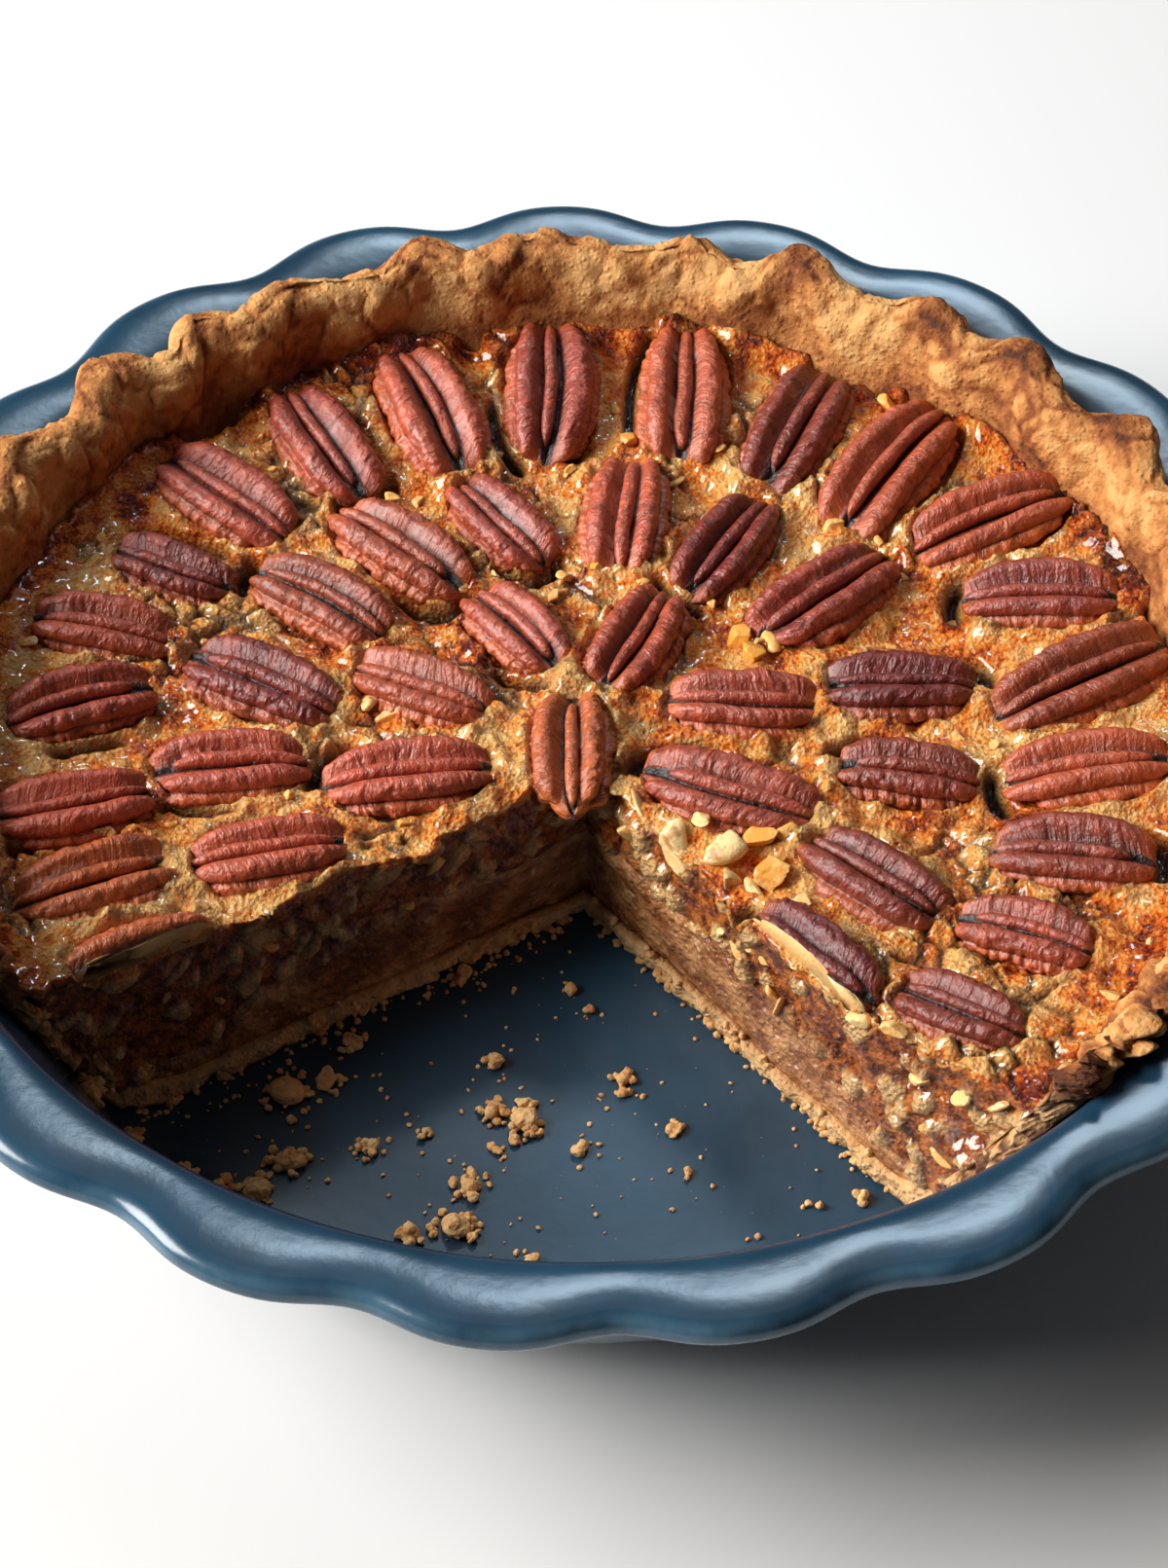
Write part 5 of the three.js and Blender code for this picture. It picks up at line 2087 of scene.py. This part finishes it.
@dataclass
class ChoppedNuts:
    """Chips of chopped nut on the top, in the cut and along its brink.

    Attributes:
        halves: The pecan halves, which the small chips keep off.
        skin_of: Height of the top at given places.
        top: Larger chips on the top, as x, y, length, width, heading and toast.
        brink: Chips at the brink of the cut and in its face, as x, y, height, length, width, heading, tilt
            and toast.
        planes: Flat facets that each chip is broken to.
        loose: Number of small chips on the top.
        top_reach: Distance from the apex that they stay within.
        in_face: Number of small chips in the two faces.
        seed: Number that picks the chips.
    """

    halves: list[PecanHalf]
    skin_of: Callable[[Array], tuple[Array, dict[str, Array]]]
    top: tuple[tuple[float, float, float, float, float, float], ...] = (
        (33.0, 29.8, 7.5, 3.6, -75.0, 0.75), (27.5, 31.0, 5.0, 4.6, 20.0, 0.95),
        (29.5, 26.0, 5.0, 4.0, -30.0, 0.95), (-87.5, -35.5, 6.5, 4.5, 30.0, 0.1),
        (-91.5, -37.0, 4.0, 3.0, 80.0, 0.6), (-34.0, 11.0, 6.0, 3.0, 10.0, 0.7),
        (-38.0, 12.5, 4.0, 3.0, 60.0, 0.5), (10.0, 37.0, 6.5, 4.0, 15.0, 0.8),
        (20.5, 51.0, 4.5, 3.5, -20.0, 0.9), (88.5, -4.0, 5.0, 4.0, 40.0, 0.6),
        (66.0, 51.5, 5.0, 3.0, 70.0, 0.7), (45.0, 57.0, 4.5, 3.0, 0.0, 0.6),
        (8.0, 80.0, 4.5, 3.5, 35.0, 0.7), (56.5, 86.0, 4.5, 3.5, -45.0, 0.8),
    )
    brink: tuple[tuple[float, float, float, float, float, float, float, float], ...] = (
        (16.2, -18.6, 41.0, 9.5, 6.0, -70.0, -55.0, 0.0),
        (19.6, -13.8, 44.2, 8.5, 3.4, -85.0, 25.0, 0.25), (23.6, -20.8, 43.2, 8.0, 6.6, 25.0, 10.0, 0.0),
        (25.0, -25.2, 40.8, 7.0, 5.0, 65.0, -30.0, 0.08), (29.6, -18.8, 44.2, 6.4, 4.8, 30.0, 20.0, 0.85),
        (32.0, -25.2, 43.2, 7.4, 6.0, 80.0, 5.0, 0.7), (34.8, -17.8, 44.8, 4.8, 3.2, 10.0, 0.0, 0.85),
        (29.4, -30.0, 41.6, 9.0, 3.0, -62.0, -8.0, 0.3), (36.2, -32.4, 43.0, 4.0, 3.2, 0.0, 10.0, 0.4),
        (9.4, -10.8, 43.2, 6.5, 2.0, -60.0, -20.0, 0.1), (7.4, -12.8, 38.5, 4.6, 3.4, 20.0, -40.0, 0.3),
        (45.0, -56.0, 42.0, 5.0, 3.6, -50.0, 0.0, 0.15), (50.4, -61.0, 45.6, 4.6, 3.6, -40.0, 15.0, 0.45),
        (33.0, -41.4, 27.0, 6.4, 2.0, -50.0, 75.0, 0.55),
        (64.4, -72.6, 37.0, 6.5, 2.6, -45.0, -60.0, 0.1), (61.0, -70.2, 39.4, 5.0, 3.2, -50.0, 40.0, 0.3),
        (57.4, -67.0, 29.0, 7.6, 5.0, -50.0, 20.0, 0.5), (59.4, -71.6, 26.0, 5.4, 3.6, -48.0, -15.0, 0.6),
        (55.0, -64.4, 37.0, 4.6, 3.0, -46.0, 30.0, 0.4), (66.4, -74.6, 43.0, 5.6, 2.4, -40.0, 50.0, 0.1),
    )
    planes: int = 9
    loose: int = 40
    top_reach: float = 104.0
    in_face: int = 16
    seed: int = 83

    @staticmethod
    def ball() -> tuple[Array, list[tuple[int, ...]]]:
        """Points and faces of a round ball of radius 1."""
        work = bmesh.new()
        bmesh.ops.create_icosphere(work, subdivisions=4, radius=1.0)
        work.verts.ensure_lookup_table()
        points = np.array([vertex.co for vertex in work.verts])
        faces = [tuple(vertex.index for vertex in face.verts) for face in work.faces]
        work.free()
        return points, faces

    @staticmethod
    def draw_size(rng: np.random.Generator, least: float, most: float) -> tuple[float, ...]:
        """Draws a small chip's length, width and thickness."""
        return tuple(rng.uniform(least, most) * rng.uniform((0.9, 0.5, 0.4), (1.1, 0.8, 0.6)))

    def shape(self, chip: Chip, ball: Array, rng: np.random.Generator) -> Array:
        """Breaks a ball down to a chip's facets and sets it in place.

        Args:
            chip: The chip.
            ball: Points of a ball of radius 1.
            rng: Source of the facets.

        Returns:
            The chip's points.
        """
        facing = rng.normal(size=(self.planes, 3))
        facing /= np.linalg.norm(facing, axis=1)[:, None]
        depth = rng.uniform(0.42, 0.8, self.planes)
        reach = np.min(depth / np.maximum(ball @ facing.T, 1e-3), axis=1)
        points = ball * np.minimum(reach, 1.0)[:, None]
        span = points.max(axis=0) - points.min(axis=0)
        points = (points - (points.max(axis=0) + points.min(axis=0)) / 2.0) / span * np.array(chip.size)
        points += 0.12 * Noise(int(rng.integers(1, 999))).fractal(points, 1.8, 3)[:, None] * ball
        turn = Matrix.Rotation(math.radians(chip.heading), 3, "Z")
        turn = turn @ Matrix.Rotation(-math.radians(chip.tilt), 3, "Y")
        turn = turn @ Matrix.Rotation(rng.uniform(-0.5, 0.5), 3, "X")
        return points @ np.array(turn).T + np.array(chip.place)

    def chips(self, rng: np.random.Generator) -> list[Chip]:
        """Lists every chip."""
        chips = []
        spots = [(x, y, (long, wide, 0.75 * wide), *rest) for x, y, long, wide, *rest in self.top]
        while len(spots) < len(self.top) + self.loose:
            part, away = rng.random(), self.top_reach * math.sqrt(rng.uniform(0.02, 1.0))
            bearing = PLAN.right_bearing + 6.0 + part * (PLAN.span - 10.0)
            x, y = np.array(PLAN.apex) + away * PLAN.direction(bearing)
            if self.is_clear(x, y):
                size = self.draw_size(rng, 1.6, 3.6)
                spots.append((float(x), float(y), size, rng.uniform(0.0, 360.0), rng.uniform(0.3, 1.0)))
        flat = np.array([(spot[0], spot[1], 0.0) for spot in spots])
        flat[:, 2] = PLAN.top(np.hypot(flat[:, 0], flat[:, 1]))
        for (x, y, size, heading, toast), level in zip(spots, self.skin_of(flat)[0]):
            place = (x, y, float(level) + 0.2 * size[2])
            chips.append(Chip(place, size, heading, rng.uniform(-20.0, 20.0), toast))
        for x, y, height, long, wide, heading, tilt, toast in self.brink:
            chips.append(Chip((x, y, height), (long, wide, 0.62 * wide), heading, tilt, toast))
        for k in range(self.in_face):
            end = k % 2
            bearing = PLAN.wall_bearing(end)
            away = rng.uniform(8.0, PLAN.cut_reach)
            low = 27.0 - 10.0 * max(0.0, (away - 55.0) / 30.0)
            height = rng.uniform(low, 40.0)
            spot = np.array(PLAN.apex) + away * PLAN.direction(bearing)
            spot = spot + PLAN.side(end)[:2] * rng.uniform(-0.8, 0.3)
            size = self.draw_size(rng, 2.0, 4.5)
            if end == 1 or height < 30.0 or away < PLAN.break_radius:
                tilt = rng.uniform(-60.0, 60.0)
                chips.append(Chip((*spot, height), size, bearing, tilt, rng.uniform(0.2, 0.9)))
        return chips

    def build(self) -> bpy.types.Object:
        """Makes every chip as one piece.

        Returns:
            The finished piece.
        """
        rng = np.random.default_rng(self.seed)
        ball, faces = self.ball()
        parts = MeshParts()
        for chip in self.chips(rng):
            parts.add(self.shape(chip, ball, rng), faces, toast=np.full(len(ball), chip.toast))
        piece = parts.piece("chopped_nuts", NutFlesh().build())
        piece.data.set_sharp_from_angle(angle=math.radians(38.0))
        return dress(piece, Slot.NUTS)

    def is_clear(self, x: float, y: float) -> bool:
        """Whether a place on the top lies off every half."""
        for half in self.halves:
            u, v, _ = half.local(np.array([[x, y, half.origin[2]]]))[0]
            if math.hypot(u / (half.length / 2.0 + 1.0), v / (half.width / 2.0 + 1.0)) < 1.0:
                return False
        return True


# ---- Studio ----


@dataclass
class Studio:
    """Pale table, soft window light from the left, and the camera.

    Attributes:
        eye: Camera's place in millimetres.
        heading: Direction that it looks in.
        roll: Its roll in degrees.
        focal: Lens on a 36 mm sensor.
        table_reach: How far the table goes on, in metres.
        room: Colour of the room's own light.
        room_strength: Its strength.
    """

    eye: Triple = (0.0, -435.0, 510.5)
    heading: Triple = (0.0, 0.6764, -0.7366)
    roll: float = -0.445
    focal: float = 84.9
    table_reach: float = 3.0
    room: Colour = (1.0, 0.9, 0.85)
    room_strength: float = 0.046

    def camera(self) -> None:
        """Sets the camera."""
        lens = bpy.data.cameras.new("view")
        lens.lens = self.focal
        lens.sensor_width = 36.0
        lens.sensor_fit = "AUTO"
        lens.clip_start = 0.01
        holder = show(bpy.data.objects.new("view", lens))
        forward = Vector(self.heading).normalized()
        right = forward.cross(Vector((0.0, 0.0, 1.0))).normalized()
        up = right.cross(forward)
        turn = Matrix.Rotation(math.radians(self.roll), 3, forward)
        columns = (turn @ right, turn @ up, -forward)
        place = Matrix.Translation(Vector(self.eye) * MM)
        holder.matrix_world = place @ Matrix(columns).transposed().to_4x4()
        bpy.context.scene.camera = holder

    @staticmethod
    def lamp(
        name: str,
        place: Sequence[float],
        aim: Sequence[float],
        size: tuple[float, float],
        power: float,
        colour: Colour,
    ) -> None:
        """Adds a soft rectangular light.

        Args:
            name: Its name.
            place: Where it is, in metres.
            aim: What it points at, in metres.
            size: Its width and height in metres.
            power: Its power in watts.
            colour: Its colour.
        """
        light = bpy.data.lights.new(name, "AREA")
        light.shape = "RECTANGLE"
        light.size, light.size_y = size
        light.energy = power
        light.color = colour
        holder = show(bpy.data.objects.new(name, light))
        holder.location = Vector(place)
        holder.rotation_euler = (Vector(aim) - Vector(place)).to_track_quat("-Z", "Y").to_euler()

    def table(self) -> None:
        """Lays the pale table."""
        surface = Shader("pale_table").finish(Base_Color=(0.86, 0.855, 0.85), Roughness=0.35)
        work = bmesh.new()
        bmesh.ops.create_grid(work, x_segments=1, y_segments=1, size=self.table_reach)
        mesh = bpy.data.meshes.new("table")
        work.to_mesh(mesh)
        work.free()
        mesh.materials.append(surface)
        show(bpy.data.objects.new("table", mesh))

    def sky(self) -> None:
        """Fills the room with a faint even light."""
        world = bpy.data.worlds.new("room")
        world.use_nodes = True
        light = world.node_tree.nodes["Background"].inputs
        light["Color"].default_value = (*self.room, 1.0)
        light["Strength"].default_value = self.room_strength
        bpy.context.scene.world = world

    def build(self) -> None:
        """Sets up the whole studio."""
        self.camera()
        self.table()
        self.sky()
        self.lamp("window", (-1.6, 0.0, 1.04), (0.0, 0.0, 0.0), (1.18, 1.05), 77.0, (1.0, 0.985, 0.96))
        self.lamp("back_panel", (0.08, 1.19, 1.27), (0.0, -0.05, 0.05), (0.3, 0.22), 4.9, (0.68, 0.86, 1.0))
        self.lamp("ceiling", (0.0, 0.57, 1.33), (0.0, 0.0, 0.0), (0.9, 0.9), 1.3, (1.0, 0.9, 0.84))
        bpy.context.scene.view_settings.view_transform = "Standard"


def main() -> None:
    """Builds the pie and its studio in order."""
    logging.basicConfig(level=logging.INFO, format="%(name)s: %(message)s")
    Studio().build()
    Dish().build()
    PastryCase().build()
    rings = PecanRings()
    rings.lay_out()
    Custard().build()
    layer = NutLayer(rings.halves)
    layer.build()
    rings.build()
    ChoppedNuts(rings.halves, layer.skin).build()
    Crumbs().build()


if __name__ == "__main__":
    main()
